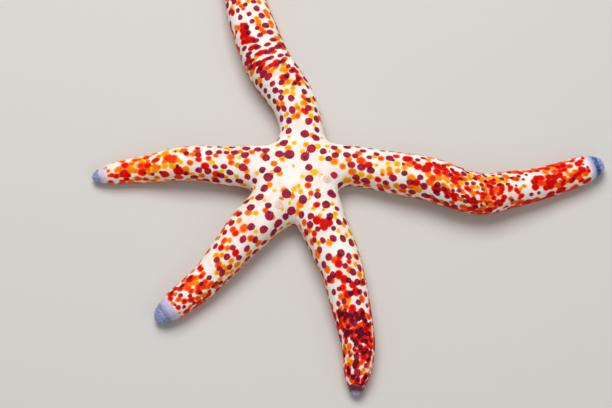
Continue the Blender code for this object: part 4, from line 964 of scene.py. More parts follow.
warm_edge = np.full(len(rest_points), FAR)
warmth_sum = np.zeros(len(rest_points))
weight_sum = np.full(len(rest_points), TINY)
for spot in warm_spots:
    chosen = rings_near(spot["arm"], spot["length"], spot["across"] + FAR)
    away = spot_distances(spot, chosen)
    weight = np.exp(-np.clip(away, -1.0, FAR) / WARM_BLEND)
    warmth_sum[chosen] += weight * spot["warmth"]
    weight_sum[chosen] += weight
    warm_edge[chosen] = np.minimum(warm_edge[chosen], away)
warm_edge += WARM_WANDER * wavering(rest_points, WANDER_SIZE * WARM_WANDER_SIZE, FILL_SEED + 2)
all_lengths = np.concatenate([np.repeat(arm["lengths"], len(TURNS)) for arm in ARMS.values()])
warm_edge -= np.interp(all_lengths, WARM_BLEED_LENGTHS, WARM_BLEED)
warmth_field = warmth_sum / weight_sum

# Tips turn lavender and then blue, and carry no markings there: how far from the arm's end each
# colour starts, how strong each is, and the turn past which the blue shows
TIPS = {
    "back": (5.0, 3.4, 1.0, 0.6, -200.0),
    "left": (4.0, 2.6, 0.55, 0.7, 5.0),
    "front_left": (5.0, 3.4, 1.0, 0.6, -200.0),
    # The front arm's tip keeps its dark red marks to the end, with no lavender or blue on the hide: partly
    # painted shade
    "front": (1.8, 1.4, 0.0, 0.0, -200.0),
    "right": (5.0, 3.8, 1.0, 1.0, -200.0),
}
TIP_FADE = 0.9
TIP_TURN_FADE = 35.0
BARE_STEP = 0.8

# A thin broken orange line runs along the lower edges of the arms, this many degrees from the top.
# The underside is paler between these turns and all the way beyond, and the furrow's lining is tinted
MARGIN_TURN = 106.0
MARGIN_HALF_WIDTH = 0.2
MARGIN_WANDER = 0.25
UNDER_FADE = (108.0, 132.0)

tip_blue = []
tip_lavender = []
bare = []
margin_edge = []
underside = []
for name, arm in ARMS.items():
    left = arm["length"] - arm["lengths"][:, None] + np.zeros(arm["numbers"].shape)
    half = section_of(arm, arm["lengths"])[0][:, None]
    lavender_start, blue_start, lavender, blue, first_turn = TIPS[name]
    sided = np.clip((TURNS[None, :] - first_turn) / TIP_TURN_FADE, 0.0, 1.0)
    ending = np.clip((lavender_start - left) / TIP_FADE, 0.0, 1.0)
    tip_blue.append((np.clip((blue_start - left) / TIP_FADE, 0.0, 1.0) * blue * sided).ravel())
    tip_lavender.append((ending * lavender).ravel())
    bare.append((ending * (BARE_STEP if lavender else 0.0)).ravel())
    off = np.radians(np.abs(np.abs(TURNS)[None, :] - MARGIN_TURN)) * half
    margin_edge.append((off - MARGIN_HALF_WIDTH).ravel())
    under = np.clip((np.abs(TURNS) - UNDER_FADE[0]) / (UNDER_FADE[1] - UNDER_FADE[0]), 0.0, 1.0)
    lining = np.abs(TURNS) > 180.0 - FURROW_HALF_WIDTH / ACROSS[-1] * FIRST_TURN * FLAT_TURN_SHARE
    underside.append(np.tile(under + lining, len(arm["lengths"])))
wander = wavering(rest_points, WANDER_SIZE, FILL_SEED + 3)
bare = np.concatenate(bare)
FIELDS = {
    "dot_edge": dot_edge + bare,
    "dot_tone": dot_tone,
    "warm_edge": warm_edge + bare,
    "warmth": warmth_field,
    "tip_blue": np.concatenate(tip_blue),
    "tip_lavender": np.concatenate(tip_lavender),
    "margin_edge": np.concatenate(margin_edge) + MARGIN_WANDER * MARGIN_HALF_WIDTH * wander,
    "underside": np.concatenate(underside),
}

# Flat strips for the finish: one for each arm, with its width along u, at a column and a height in
# a square of this span
STRIP_SPAN = 128.0
STRIP_COLUMNS = 3
STRIP_WIDTH = 40.0
STRIP_END = 0.8
STRIP_PLACES = {
    "right": (0, 1.0),
    "front_left": (0, 78.0),
    "back": (1, 1.0),
    "left": (1, 72.0),
    "front": (2, 1.0),
}


def strip_corners(name):
    """Places of an arm's points on its flat strip: the way round from below, no wider than a strip,
    and the length along, as a grid with one more column, which closes it."""
    arm = ARMS[name]
    closed = np.concatenate([arm["grid"], arm["grid"][:, :1]], axis=1)
    steps = np.linalg.norm(np.diff(closed, axis=1), axis=2)
    around = np.concatenate([np.zeros((len(steps), 1)), np.cumsum(steps, axis=1)], axis=1)
    share = around / around[:, -1:] - 0.5
    wide = np.minimum(around[:, -1:], STRIP_WIDTH)
    column, start = STRIP_PLACES[name]
    u = (column + 0.5) * STRIP_SPAN / STRIP_COLUMNS + share * wide
    v = start + arm["lengths"][:, None] + np.zeros_like(u)
    return np.stack([u, v], axis=2) / STRIP_SPAN


def skin_faces():
    """Corners and strip places of all faces: quads from ring to ring round each arm, and a fan of
    triangles that closes its end inside the terminal plate."""
    quads = []
    quad_places = []
    fans = []
    fan_places = []
    ends = []
    for name, arm in ARMS.items():
        numbers = shared[np.concatenate([arm["numbers"], arm["numbers"][:, :1]], axis=1)]
        places = strip_corners(name)
        for grid, kept in ((numbers, quads), (places, quad_places)):
            corners = (grid[:-1, :-1], grid[:-1, 1:], grid[1:, 1:], grid[1:, :-1])
            kept.append(np.stack(corners, axis=2).reshape(-1, 4, *grid.shape[2:]))
        last = numbers[-1]
        middle = np.full(len(last) - 1, len(points) + len(ends))
        ends.append(points[arm["numbers"][-1]].mean(axis=0))
        fans.append(np.stack([last[:-1], last[1:], middle], axis=1))
        tip = places[-1].mean(axis=0) + np.array([0.0, STRIP_END / STRIP_SPAN])
        middle = np.tile(tip, (len(last) - 1, 1))
        fan_places.append(np.stack([places[-1, :-1], places[-1, 1:], middle], axis=1))
    return quads, quad_places, fans, fan_places, np.array(ends)


def to_world(corners):
    """Metres in the model's frame from millimetres from the disc's middle."""
    return (corners + np.array([DISC_X, DISC_Y, 0.0])) * MM


def mesh_piece(name, corners, faces):
    """A smooth mesh object of corners in millimetres from the disc's middle, and lists of face corners."""
    mesh = bpy.data.meshes.new(name)
    mesh.from_pydata(to_world(corners), [], faces)
    mesh.polygons.foreach_set("use_smooth", np.ones(len(mesh.polygons), dtype=bool))
    mesh.update()
    piece = bpy.data.objects.new(name, mesh)
    bpy.context.collection.objects.link(piece)
    return piece


quads, quad_places, fans, fan_places, ends = skin_faces()
quads = np.concatenate(quads)
fans = np.concatenate(fans)
used, renumbered = np.unique(np.concatenate([quads.ravel(), fans.ravel()]), return_inverse=True)
faces = renumbered[: quads.size].reshape(-1, 4).tolist() + renumbered[quads.size :].reshape(-1, 3).tolist()
skin = mesh_piece("skin", np.concatenate([points, ends])[used], faces)
for field, values in FIELDS.items():
    filled = np.concatenate([values, np.zeros(len(ends))])
    skin.data.attributes.new(field, "FLOAT", "POINT").data.foreach_set("value", filled[used])
flat_places = np.concatenate([part.ravel() for part in (*quad_places, *fan_places)])
skin.data.uv_layers.new(name="OFBake").data.foreach_set("uv", flat_places)


def colour(code):
    """Linear colour of an sRGB hex code: a share over 0.04045 is (share + 0.055) / 1.055 to the 2.4."""
    shares = [int(code[place : place + 2], 16) / 255 for place in (1, 3, 5)]
    linear = [((share + 0.055) / 1.055) ** 2.4 if share > 0.04045 else share / 12.92 for share in shares]
    return (*linear, 1.0)


def add(tree, kind, settings=None, inputs=None, stops=None):
    """Adds a shader node with its settings and ramp stops. Each input, by name or number, is linked
    where it is a socket and set where it is a value."""
    node = tree.nodes.new("ShaderNode" + kind)
    for setting, value in (settings or {}).items():
        setattr(node, setting, value)
    if stops:
        ramp = node.color_ramp.elements
        ramp[0].position = stops[0][0]
        ramp[1].position = stops[-1][0]
        for place, _ in stops[1:-1]:
            ramp.new(place)
        for stop, (_, code) in zip(ramp, stops):
            stop.color = colour(code)
    for key, value in (inputs or {}).items():
        live = [socket for socket in node.inputs if socket.enabled]
        socket = live[key] if isinstance(key, int) else next(s for s in live if s.name == key)
        if isinstance(value, bpy.types.NodeSocket):
            tree.links.new(value, socket)
        else:
            socket.default_value = value
    return node


def new_material(name):
    """An empty node material and its tree."""
    material = bpy.data.materials.new(name)
    material.use_nodes = True
    material.node_tree.nodes.clear()
    return material, material.node_tree


# Granular hide, satin and slightly moist. Granules of the real one are 0.1 to 0.2 mm across, too
# fine to show, so they are drawn 0.34 mm apart: they break up the edges of all markings, mottle the
# dots and give the surface its fine grain
GRANULE_SPACING = 0.34
GRANULE_RANDOMNESS = 0.85
BLOTCH_SIZE = 5.0
FLECK_SIZE = 0.7
GROUND = ("#fbf3ec", "#f3dccf")
WARM_STOPS = (
    (0.0, "#fec512"), (0.25, "#fc9a00"), (0.5, "#fd7000"), (0.7, "#fd3c04"), (0.86, "#f01205"),
    (1.0, "#cf0402"),
)
# A deep red, partly the reds' own mottling and partly painted shade
DEEP_RED_AND_SHADE = "#960408"
DOT_COLOURS = ("#c6243f", "#962242")
DOT_SHADE = "#641330"
DOT_OVER_RED = ("#6b0a22", "#4f0416")
LAVENDER = "#cbc1e2"
BLUE = "#4878b0"
BLUE_SHADE = "#3a2f6b"
UNDERSIDE_COLOUR = "#efd9c9"
LINING_COLOUR = "#d8a48e"
MARGIN_COLOUR = "#e8791c"

# How ragged and how soft the edges of markings are, in millimetres
WARM_EDGE = (0.07, 0.07)
DOT_EDGE = (0.1, 0.06)
MARGIN_EDGE = (0.1, 0.06)

# Each a range of a pattern or a field and what it is carried to, 0 to 1 where one isn't given: the
# ground's tint, the lining, the yellower rim of a warm spot, its deep red, partly the reds' own
# mottling and partly painted shade, and where that is sparse, dots darker over red and flecked with
# shade, the gaps of the margin's line, the blue's shade, the dips between granules and how rough
# the hide is
GROUND_TINT = {"From Min": 0.42, "From Max": 0.72}
LINING_TINT = {"From Min": 1.0, "From Max": 2.0}
WARM_RIM = {"From Min": -0.45, "From Max": 0.04, "To Max": 0.38}
WARM_DEEP_AND_SHADE = {"From Min": 0.9, "From Max": 1.1}
WARM_SPARSE = {"From Min": 0.5, "From Max": 0.9, "To Max": 0.7}
DOT_HOT = {"From Min": 0.6, "From Max": 0.9}
DOT_FLECKED = {"From Min": 0.45, "From Max": 0.95, "To Max": 0.85}
MARGIN_GAPS = {"From Min": 0.46, "From Max": 0.52}
BLUE_TINT = {"From Min": 0.45, "From Max": 0.62}
GRANULE_DIPS = {"From Min": 0.25, "From Max": 0.75, "To Min": 1.0, "To Max": 0.0}
ROUGHNESS = {"To Min": 0.46, "To Max": 0.62}

# Settings that many nodes share
BLEND = {"data_type": "RGBA"}
SMOOTH = {"interpolation_type": "SMOOTHSTEP"}
TIMES = {"operation": "MULTIPLY"}

# How much the flecks add to warmth and what is taken off again, and to the height of the granules
FLECK_WARMTH = 0.3
FLECK_WARMTH_MIDDLE = 0.13
FLECK_HEIGHT = 0.5
GRAIN_STRENGTH = 0.5
GRAIN_HEIGHT = 0.05


def mask_of(edge, ragged, soft):
    """1 inside a marking and 0 outside, from its distance in millimetres, ragged by the granules."""
    jitter = add(tree, "Math", {"operation": "MULTIPLY_ADD"}, {0: grain, 1: ragged, 2: edge}).outputs[0]
    return add(tree, "MapRange", SMOOTH, {
        "Value": jitter, "From Min": ragged / 2 - soft, "From Max": ragged / 2 + soft,
        "To Min": 1.0, "To Max": 0.0}).outputs["Result"]


hide, tree = new_material("granular_hide")
fields = {}
for field in FIELDS:
    fields[field] = add(tree, "Attribute", {"attribute_name": field}).outputs["Fac"]
place = add(tree, "TexCoord").outputs["Object"]
granules = add(tree, "TexVoronoi", {"feature": "F1"}, {
    "Vector": place, "Scale": 1 / (GRANULE_SPACING * MM), "Randomness": GRANULE_RANDOMNESS})
grain = add(tree, "SeparateColor", {}, {"Color": granules.outputs["Color"]}).outputs["Red"]
blotches = add(tree, "TexNoise", {}, {
    "Vector": place, "Scale": 1 / (BLOTCH_SIZE * MM), "Detail": 3.0}).outputs["Fac"]
flecks = add(tree, "TexNoise", {}, {
    "Vector": place, "Scale": 1 / (FLECK_SIZE * MM), "Detail": 2.0}).outputs["Fac"]

# The ground, and the shares of it that the paler underside and the furrow's lining cover
ground_share = add(tree, "MapRange", {}, {"Value": blotches, **GROUND_TINT}).outputs["Result"]
base = add(tree, "Mix", BLEND, {
    "Factor": ground_share, "A": colour(GROUND[0]), "B": colour(GROUND[1])}).outputs[2]
under_share = add(tree, "Math", {"operation": "MINIMUM"}, {0: fields["underside"], 1: 1.0}).outputs[0]
lining_share = add(tree, "MapRange", {}, {"Value": fields["underside"], **LINING_TINT}).outputs["Result"]

# Warm spots, from their warmth and the flecks, and the broken line along the lower edges
rim = add(tree, "MapRange", SMOOTH, {"Value": fields["warm_edge"], **WARM_RIM}).outputs["Result"]
warmth = add(tree, "Math", {"operation": "SUBTRACT"}, {0: fields["warmth"], 1: rim}).outputs[0]
warmth = add(tree, "Math", {"operation": "MULTIPLY_ADD"}, {0: flecks, 1: FLECK_WARMTH, 2: warmth}).outputs[0]
warmth = add(tree, "Math", {"operation": "SUBTRACT"}, {0: warmth, 1: FLECK_WARMTH_MIDDLE}).outputs[0]
# The deep red on the reddest marks is partly their own darker mottling and partly painted shade, as dark as
# the reds in the shade over the outer front arm
deep = add(tree, "MapRange", {}, {"Value": warmth, **WARM_DEEP_AND_SHADE}).outputs["Result"]
sparse = add(tree, "MapRange", {}, {"Value": grain, **WARM_SPARSE}).outputs["Result"]
deep = add(tree, "Math", TIMES, {0: deep, 1: sparse}).outputs[0]
warm = add(tree, "ValToRGB", {}, {"Fac": warmth}, WARM_STOPS).outputs["Color"]
warm = add(tree, "Mix", BLEND, {"Factor": deep, "A": warm, "B": colour(DEEP_RED_AND_SHADE)}).outputs[2]
warm_mask = mask_of(fields["warm_edge"], *WARM_EDGE)
gaps = add(tree, "MapRange", {}, {"Value": flecks, **MARGIN_GAPS}).outputs["Result"]
margin_mask = mask_of(fields["margin_edge"], *MARGIN_EDGE)
margin_mask = add(tree, "Math", TIMES, {0: margin_mask, 1: gaps}).outputs[0]

# The blue of an arm's tip, and dots, which are darker over red and flecked with shade
blue_share = add(tree, "MapRange", {}, {"Value": flecks, **BLUE_TINT}).outputs["Result"]
blue = add(tree, "Mix", BLEND, {
    "Factor": blue_share, "A": colour(BLUE), "B": colour(BLUE_SHADE)}).outputs[2]
dot, dot_red = (
    add(tree, "Mix", BLEND, {
        "Factor": fields["dot_tone"], "A": colour(light), "B": colour(dark)}).outputs[2]
    for light, dark in (DOT_COLOURS, DOT_OVER_RED)
)
hot = add(tree, "MapRange", {}, {"Value": fields["warmth"], **DOT_HOT}).outputs["Result"]
hot = add(tree, "Math", TIMES, {0: hot, 1: warm_mask}).outputs[0]
dot = add(tree, "Mix", BLEND, {"Factor": hot, "A": dot, "B": dot_red}).outputs[2]
flecked = add(tree, "MapRange", {}, {"Value": grain, **DOT_FLECKED}).outputs["Result"]
dot = add(tree, "Mix", BLEND, {"Factor": flecked, "A": dot, "B": colour(DOT_SHADE)}).outputs[2]

# All of them laid over the ground in turn: the share that each covers and its colour
for share, coat in (
    (under_share, colour(UNDERSIDE_COLOUR)),
    (lining_share, colour(LINING_COLOUR)),
    (warm_mask, warm),
    (margin_mask, colour(MARGIN_COLOUR)),
    (fields["tip_lavender"], colour(LAVENDER)),
    (fields["tip_blue"], blue),
    (mask_of(fields["dot_edge"], *DOT_EDGE), dot),
):
    base = add(tree, "Mix", BLEND, {"Factor": share, "A": base, "B": coat}).outputs[2]

height = add(tree, "MapRange", {}, {
    "Value": granules.outputs["Distance"], **GRANULE_DIPS}).outputs["Result"]
height = add(tree, "Math", {"operation": "MULTIPLY_ADD"}, {0: flecks, 1: FLECK_HEIGHT, 2: height}).outputs[0]
grain_normal = add(tree, "Bump", {}, {
    "Strength": GRAIN_STRENGTH, "Distance": GRAIN_HEIGHT * MM, "Height": height}).outputs["Normal"]
roughness = add(tree, "MapRange", {}, {"Value": flecks, **ROUGHNESS}).outputs["Result"]
surface = add(tree, "BsdfPrincipled", {}, {
    "Base Color": base, "Roughness": roughness, "Normal": grain_normal, "IOR": 1.4,
    "Specular IOR Level": 0.1, "Subsurface Weight": 0.06, "Subsurface Radius": (1.0, 0.5, 0.3),
    "Subsurface Scale": 0.4 * MM})
add(tree, "OutputMaterial", {}, {"Surface": surface.outputs["BSDF"]})
skin.data.materials.append(hide)
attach(skin, "root")
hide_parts(*[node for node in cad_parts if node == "disc" or node.startswith("arm_")])

# Terminal plates
# The real ones are single limy knobs at the tips of the arms, under thin skin, which shield the eye
# spots. Each closes the end of an arm and stands a little proud of the hide round it.

TERMINAL_ROOT = 0.35
TERMINAL_PROUD = 0.05
TERMINAL_LAST = 0.002
TERMINAL_RINGS = 18
TERMINAL_COLUMNS = 44
TERMINAL_ROUNDING = 0.02

# Low knobs: their height, how many go round, how fast they follow one another along, and the cosine
# from straight down above which there are none
KNOB_HEIGHT = 0.07
KNOB_COUNT = 5
KNOB_WAVE = 9.0
KNOB_COSINE = 0.2

# Calcite under thin skin, lavender to blue with a satin gloss; the front arm's is dark maroon at its root,
# painted shade for the shade over the end of that arm
CALCITE_STOPS = ((0.3, "#b9b2d8"), (0.5, "#8f9cc8"), (0.62, "#6f86b8"), (0.75, "#4d4a86"))
SHADE_MAROON = "#6d1f2c"
SHADE_MAROON_END = 0.55
SHADE_MAROON_FADE = 0.2
CALCITE_FLECK = 0.6


def terminal_points(arm):
    """Rings of the arm's own superellipse from just inside the hide to the tip, close together near
    the tip, sunk at the root and proud of the hide past it, with low knobs on top: one sine wave
    round times one along."""
    share = np.sin(np.linspace(0.0, math.pi / 2, TERMINAL_RINGS))
    first = arm["length"] - TERMINAL_LENGTH - TERMINAL_ROOT
    lengths = first + share * (arm["length"] - TERMINAL_LAST - first)
    half, axis, above, below = section_of(arm, lengths)
    turns = np.linspace(0.0, 2 * math.pi, TERMINAL_COLUMNS, endpoint=False)
    start, level = side_rays(arm, lengths, 1)
    sideways = level[:, None, :] * np.sin(turns)[None, :, None]
    upright = -np.cos(turns)[None, :] * np.where(np.cos(turns)[None, :] < 0, above[:, None], below[:, None])
    power = (np.abs(np.sin(turns)) ** SQUARENESS + np.abs(np.cos(turns)) ** SQUARENESS) ** (-1 / SQUARENESS)
    root = np.clip((lengths - first) / TERMINAL_ROOT, 0.0, 1.0)[:, None]
    size = 1.0 + (TERMINAL_PROUD / half[:, None]) * np.minimum(2.0 * root - 1.0, 1.0 - share[:, None] ** 8)
    knobs = np.sin(turns * KNOB_COUNT)[None, :] * np.sin(share * KNOB_WAVE)[:, None] * KNOB_HEIGHT * root
    size = size + knobs * (1.0 - share[:, None] ** 4) * (np.cos(turns)[None, :] < KNOB_COSINE)
    grid = np.zeros((len(lengths), len(turns), 3))
    grid[..., :2] = start[:, None, :] + sideways * (power * size)[..., None]
    grid[..., 2] = axis[:, None] + upright * power * size
    floor = (axis - half * 2 * AXIS_SHARE)[:, None]
    over = grid[..., 2] - floor
    grid[..., 2] = floor + (over + np.sqrt(over**2 + TERMINAL_ROUNDING)) / 2
    return grid


def rings_and_ends(first, rings, columns):
    """Quads from ring to ring, counted from first, and a fan at each end to the two points after them."""
    numbers = np.arange(rings * columns).reshape(rings, columns) + first
    following = np.roll(numbers, -1, axis=1)
    quads = np.stack([numbers[:-1], following[:-1], following[1:], numbers[1:]], axis=2).reshape(-1, 4)
    start = np.full(columns, first + rings * columns)
    low = np.stack([following[0], numbers[0], start], axis=1)
    high = np.stack([numbers[-1], following[-1], start + 1], axis=1)
    return quads.tolist() + low.tolist() + high.tolist()


plate_finish, tree = new_material("terminal_plate_calcite")
place = add(tree, "TexCoord").outputs["Object"]
flecks = add(tree, "TexNoise", {}, {
    "Vector": place, "Scale": 1 / (CALCITE_FLECK * MM), "Detail": 3.0}).outputs["Fac"]
calcite = add(tree, "ValToRGB", {}, {"Fac": flecks}, CALCITE_STOPS).outputs["Color"]
shade_maroon = add(tree, "Attribute", {"attribute_name": "shade_maroon"}).outputs["Fac"]
tint = add(tree, "Mix", BLEND, {"Factor": shade_maroon, "A": calcite, "B": colour(SHADE_MAROON)}).outputs[2]
relief = add(tree, "Bump", {}, {
    "Strength": 0.4, "Distance": GRAIN_HEIGHT * MM, "Height": flecks}).outputs["Normal"]
surface = add(tree, "BsdfPrincipled", {}, {
    "Base Color": tint, "Roughness": 0.38, "IOR": 1.5, "Normal": relief, "Coat Weight": 0.15})
add(tree, "OutputMaterial", {}, {"Surface": surface.outputs["BSDF"]})
for name, arm in ARMS.items():
    grid = terminal_points(arm)
    corners = np.concatenate([grid.reshape(-1, 3), [grid[0].mean(axis=0)], [grid[-1].mean(axis=0)]])
    plate = mesh_piece("terminal_plate_" + name + "_cap", corners, rings_and_ends(0, *grid.shape[:2]))
    # The root of the front arm's plate is painted dark maroon as shade
    share = np.clip((SHADE_MAROON_END - np.linspace(0.0, 1.0, len(grid))) / SHADE_MAROON_FADE, 0.0, 1.0)
    share = np.repeat(share, grid.shape[1])
    share = np.concatenate([share, share[:1], share[-1:]]) * (name == "front")
    plate.data.attributes.new("shade_maroon", "FLOAT", "POINT").data.foreach_set("value", share)
    plate.data.materials.append(plate_finish)
    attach(plate, "root")
    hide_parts("terminal_plate_" + name)

# Sieve plates
# The real ones are two round limy buttons on the disc, off the middle between two arms, through
# whose fine winding grooves sea water is drawn. Each sits in the hide with a soft rim round it.

# The bearing and the reach of both from the disc's middle
SIEVES = ((340, 7.5), (247, 9.9))
SIEVE_RADIUS = 1.1
SIEVE_RISE = 0.1
SIEVE_DOME = 0.198
SIEVE_SUNK = 0.5
SIEVE_RINGS = 26
SIEVE_COLUMNS = 96

# How far off its middle the disc's slope is taken, and the angle at which the dome's rings start
SLOPE_SPAN = 1.0
DOME_START = 0.1

# Shares of the radius: the foot, from and over which the rounded rim falls by SIEVE_RIM_FALL, and
# where the grooves begin and end, and over what share they fade
SIEVE_FOOT = 1.04
SIEVE_RIM = (0.86, 0.14)
SIEVE_RIM_FALL = 0.12
GROOVES_FROM = (0.12, 0.2)
GROOVES_TO = (1.02, 0.12)

# The grooves: how many run round the plate, how deep they are, how far they wind and over what share
# of the radius, and how far they lean with it
GROOVES = 13
GROOVE_DEPTH = 0.09
GROOVE_WINDING = 5.0
GROOVE_WINDING_SIZE = 0.9
GROOVE_LEAN = 7.0

# Matt calcite, pinkish white, that fades into the colour of the hide towards its rim
SIEVE_STOPS = ((0.35, "#eec6a8"), (0.5, "#f4dcc8"), (0.65, "#e8bb9c"))
SIEVE_FLECK = 0.5
SIEVE_FADE = (0.7, 0.3)


def sieve_points(bearing, reach, seed):
    """Rings from the sunk foot over the rounded rim to the top of a low dome, seated square to the
    disc's slope. Grooves run out from the middle and wind: a wave round it whose phase wavers."""
    middle = np.array([math.cos(math.radians(bearing)), math.sin(math.radians(bearing))]) * reach
    spots = middle + np.array([[0, 0], [1, 0], [-1, 0], [0, 1], [0, -1]]) * SLOPE_SPAN
    seat = on_disc(spots[:, 0], spots[:, 1])
    upright = np.cross(seat[1] - seat[2], seat[3] - seat[4])
    upright /= np.linalg.norm(upright)
    ahead = np.cross(upright, [0.0, 1.0, 0.0])
    ahead /= np.linalg.norm(ahead)
    aside = np.cross(upright, ahead)
    dome = np.cos(np.linspace(DOME_START, math.pi / 2, SIEVE_RINGS - 2))
    shares = np.concatenate([[SIEVE_FOOT, SIEVE_FOOT], dome])
    turns = np.linspace(0.0, 2 * math.pi, SIEVE_COLUMNS, endpoint=False)
    level = 0 * np.outer(shares, turns)
    flat = np.stack([np.outer(shares, np.cos(turns)), np.outer(shares, np.sin(turns)), level], axis=2)
    winding = wavering(flat.reshape(-1, 3), GROOVE_WINDING_SIZE, seed).reshape(flat.shape[:2])
    angles = GROOVES * turns[None, :] + GROOVE_WINDING * winding + GROOVE_LEAN * shares[:, None]
    wave = 0.5 + 0.5 * np.cos(angles)
    cover = np.clip((shares - GROOVES_FROM[0]) / GROOVES_FROM[1], 0.0, 1.0)
    cover *= np.clip((GROOVES_TO[0] - shares) / GROOVES_TO[1], 0.0, 1.0)
    height = SIEVE_RISE + SIEVE_DOME * (1.0 - shares**2)
    height -= SIEVE_RIM_FALL * np.clip((shares - SIEVE_RIM[0]) / SIEVE_RIM[1], 0.0, 1.0)
    height[0] = -SIEVE_SUNK
    height = height[:, None] - GROOVE_DEPTH * wave**2 * cover[:, None]
    grid = flat[..., :1] * ahead + flat[..., 1:2] * aside
    return seat[0] + grid * SIEVE_RADIUS + height[..., None] * upright


sieve_finish, tree = new_material("sieve_plate_calcite")
place = add(tree, "TexCoord").outputs["Object"]
flecks = add(tree, "TexNoise", {}, {
    "Vector": place, "Scale": 1 / (SIEVE_FLECK * MM), "Detail": 2.0}).outputs["Fac"]
calcite = add(tree, "ValToRGB", {}, {"Fac": flecks}, SIEVE_STOPS).outputs["Color"]
rim = add(tree, "Attribute", {"attribute_name": "rim"}).outputs["Fac"]
tint = add(tree, "Mix", BLEND, {"Factor": rim, "A": calcite, "B": colour(GROUND[0])}).outputs[2]
surface = add(tree, "BsdfPrincipled", {}, {"Base Color": tint, "Roughness": 0.6, "IOR": 1.5})
add(tree, "OutputMaterial", {}, {"Surface": surface.outputs["BSDF"]})
for index, (bearing, reach) in enumerate(SIEVES):
    grid = sieve_points(bearing, reach, PLATE_SEED + index)
    corners = np.concatenate([grid.reshape(-1, 3), [grid[0].mean(axis=0)], [grid[-1].mean(axis=0)]])
    sieve = mesh_piece(f"sieve_plate_{index + 1}_grooved", corners, rings_and_ends(0, *grid.shape[:2]))
    reach = np.linalg.norm(grid - grid[-1].mean(axis=0), axis=2).ravel() / SIEVE_RADIUS
    share = np.concatenate([np.clip((reach - SIEVE_FADE[0]) / SIEVE_FADE[1], 0.0, 1.0), [1.0, 0.0]])
    sieve.data.attributes.new("rim", "FLOAT", "POINT").data.foreach_set("value", share)
    sieve.data.materials.append(sieve_finish)
    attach(sieve, "root")
    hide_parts(f"sieve_plate_{index + 1}")

# Tube feet
# The real ones are soft clear tubes in two rows along each furrow, each with a flat sucker at its end.
# They hang from the roof of the furrow, reach just short of the floor and sway a little either way.

FOOT_STEP = 1.15
FOOT_FIRST = 2.7
FOOT_SPARE = 0.8
FOOT_ASIDE = 0.62
FOOT_SUNK = 0.3
FOOT_CLEAR = 0.1
FOOT_CUP = 0.12
FOOT_SWAY = 0.2
FOOT_SIZES = (0.92, 1.08)
FOOT_LEAST = 0.5
FOOT_SIDES = 7
FOOT_SEED = 7

# A foot from root to sucker: the share of its length that a ring is at, and the ring's radius
FOOT_RINGS = ((0.0, 0.36), (0.2, 0.28), (0.55, 0.24), (0.8, 0.23), (0.88, 0.33), (0.96, 0.41), (1.0, 0.34))

# Any level direction that no foot or spine follows, and the share of its cell that the strip place
# of one form fills, with the margins round it
LEVEL_WAY = (0.6, 0.8, 0.0)
CELL_SHARE = 0.8
CELL_MARGIN = (0.1, 0.2)


def furrow_places(step, first, spare):
    """Places along both sides of all furrows every step from a length of first: the arm, the length
    and the side (1 left, -1 right)."""
    places = []
    for name, arm in ARMS.items():
        last = arm["length"] - TERMINAL_LENGTH - spare
        for length in np.arange(first, last, step):
            places += [(name, length + side * step / 4, side) for side in (1, -1)]
    return places


def beside_furrow(name, length, side, aside):
    """Point aside of an arm's middle line at a length, at the level of the underside there, and how
    slim the arm is. The distance aside shrinks with the arm."""
    arm = ARMS[name]
    line, x, y, _ = arm["axis"]
    slim = narrowing(section_of(arm, np.array([length]))[0][0])
    sideways = np.cross([0.0, 0.0, side], heading_at(name, length))
    point = np.array([np.interp(length, line, x), np.interp(length, line, y), 0.0])
    point += sideways * aside * slim
    point[2] = floor_at(arm, np.array([length]), point)[0]
    return point, slim


def round_forms(roots, tips, sizes, rings, sides):
    """Many round forms in one grid. Each follows the straight line from its root to its tip through
    rings of (share of the line, radius times its size), and keeps an even number of sides."""
    shares, radii = np.array(rings).T
    ways = tips - roots
    upright = ways / np.linalg.norm(ways, axis=1)[:, None]
    ahead = np.cross(upright, LEVEL_WAY)
    ahead /= np.linalg.norm(ahead, axis=1)[:, None]
    aside = np.cross(upright, ahead)
    turns = np.linspace(0.0, 2 * math.pi, sides, endpoint=False)[None, :, None]
    circle = np.cos(turns) * ahead[:, None, :] + np.sin(turns) * aside[:, None, :]
    middles = roots[:, None, :] + ways[:, None, :] * shares[None, :, None]
    wide = radii[None, :] * sizes[:, None]
    return middles[:, :, None, :] + circle[:, None, :, :] * wide[:, :, None, None]


def joined_piece(name, grid, starts, ends):
    """One mesh of many closed round forms, and a strip place for each form in a square layout: the
    way round it along u and its rings along v."""
    count, rings, sides = grid.shape[:3]
    corners = np.concatenate([grid.reshape(count, -1, 3), starts[:, None, :], ends[:, None, :]], axis=1)
    size = corners.shape[1]
    one = rings_and_ends(0, rings, sides)
    faces = [[corner + size * copy for corner in face] for copy in range(count) for face in one]
    piece = mesh_piece(name, corners.reshape(-1, 3), faces)
    ring, side = np.divmod(np.arange((rings - 1) * sides), sides)
    quads = np.stack([[side, side + 1, side + 1, side], [ring, ring, ring + 1, ring + 1]], axis=2)
    side = np.arange(sides)
    low = np.stack([[side + 1, side, side + 0.5], [0 * side, 0 * side, 0 * side - 1]], axis=2)
    high = np.stack([[side, side + 1, side + 0.5], [0 * side + rings - 1] * 2 + [0 * side + rings]], axis=2)
    flat = np.concatenate([part.swapaxes(0, 1).reshape(-1, 2) for part in (quads, low, high)])
    per_row = math.ceil(math.sqrt(count))
    row, column = np.divmod(np.arange(count), per_row)
    inner = (flat * (CELL_SHARE / sides, CELL_SHARE / (rings + 1)) + CELL_MARGIN)[None]
    places = (inner + np.stack([column, row], axis=1)[:, None, :]) / per_row
    piece.data.uv_layers.new(name="OFBake").data.foreach_set("uv", places.ravel())
    return piece


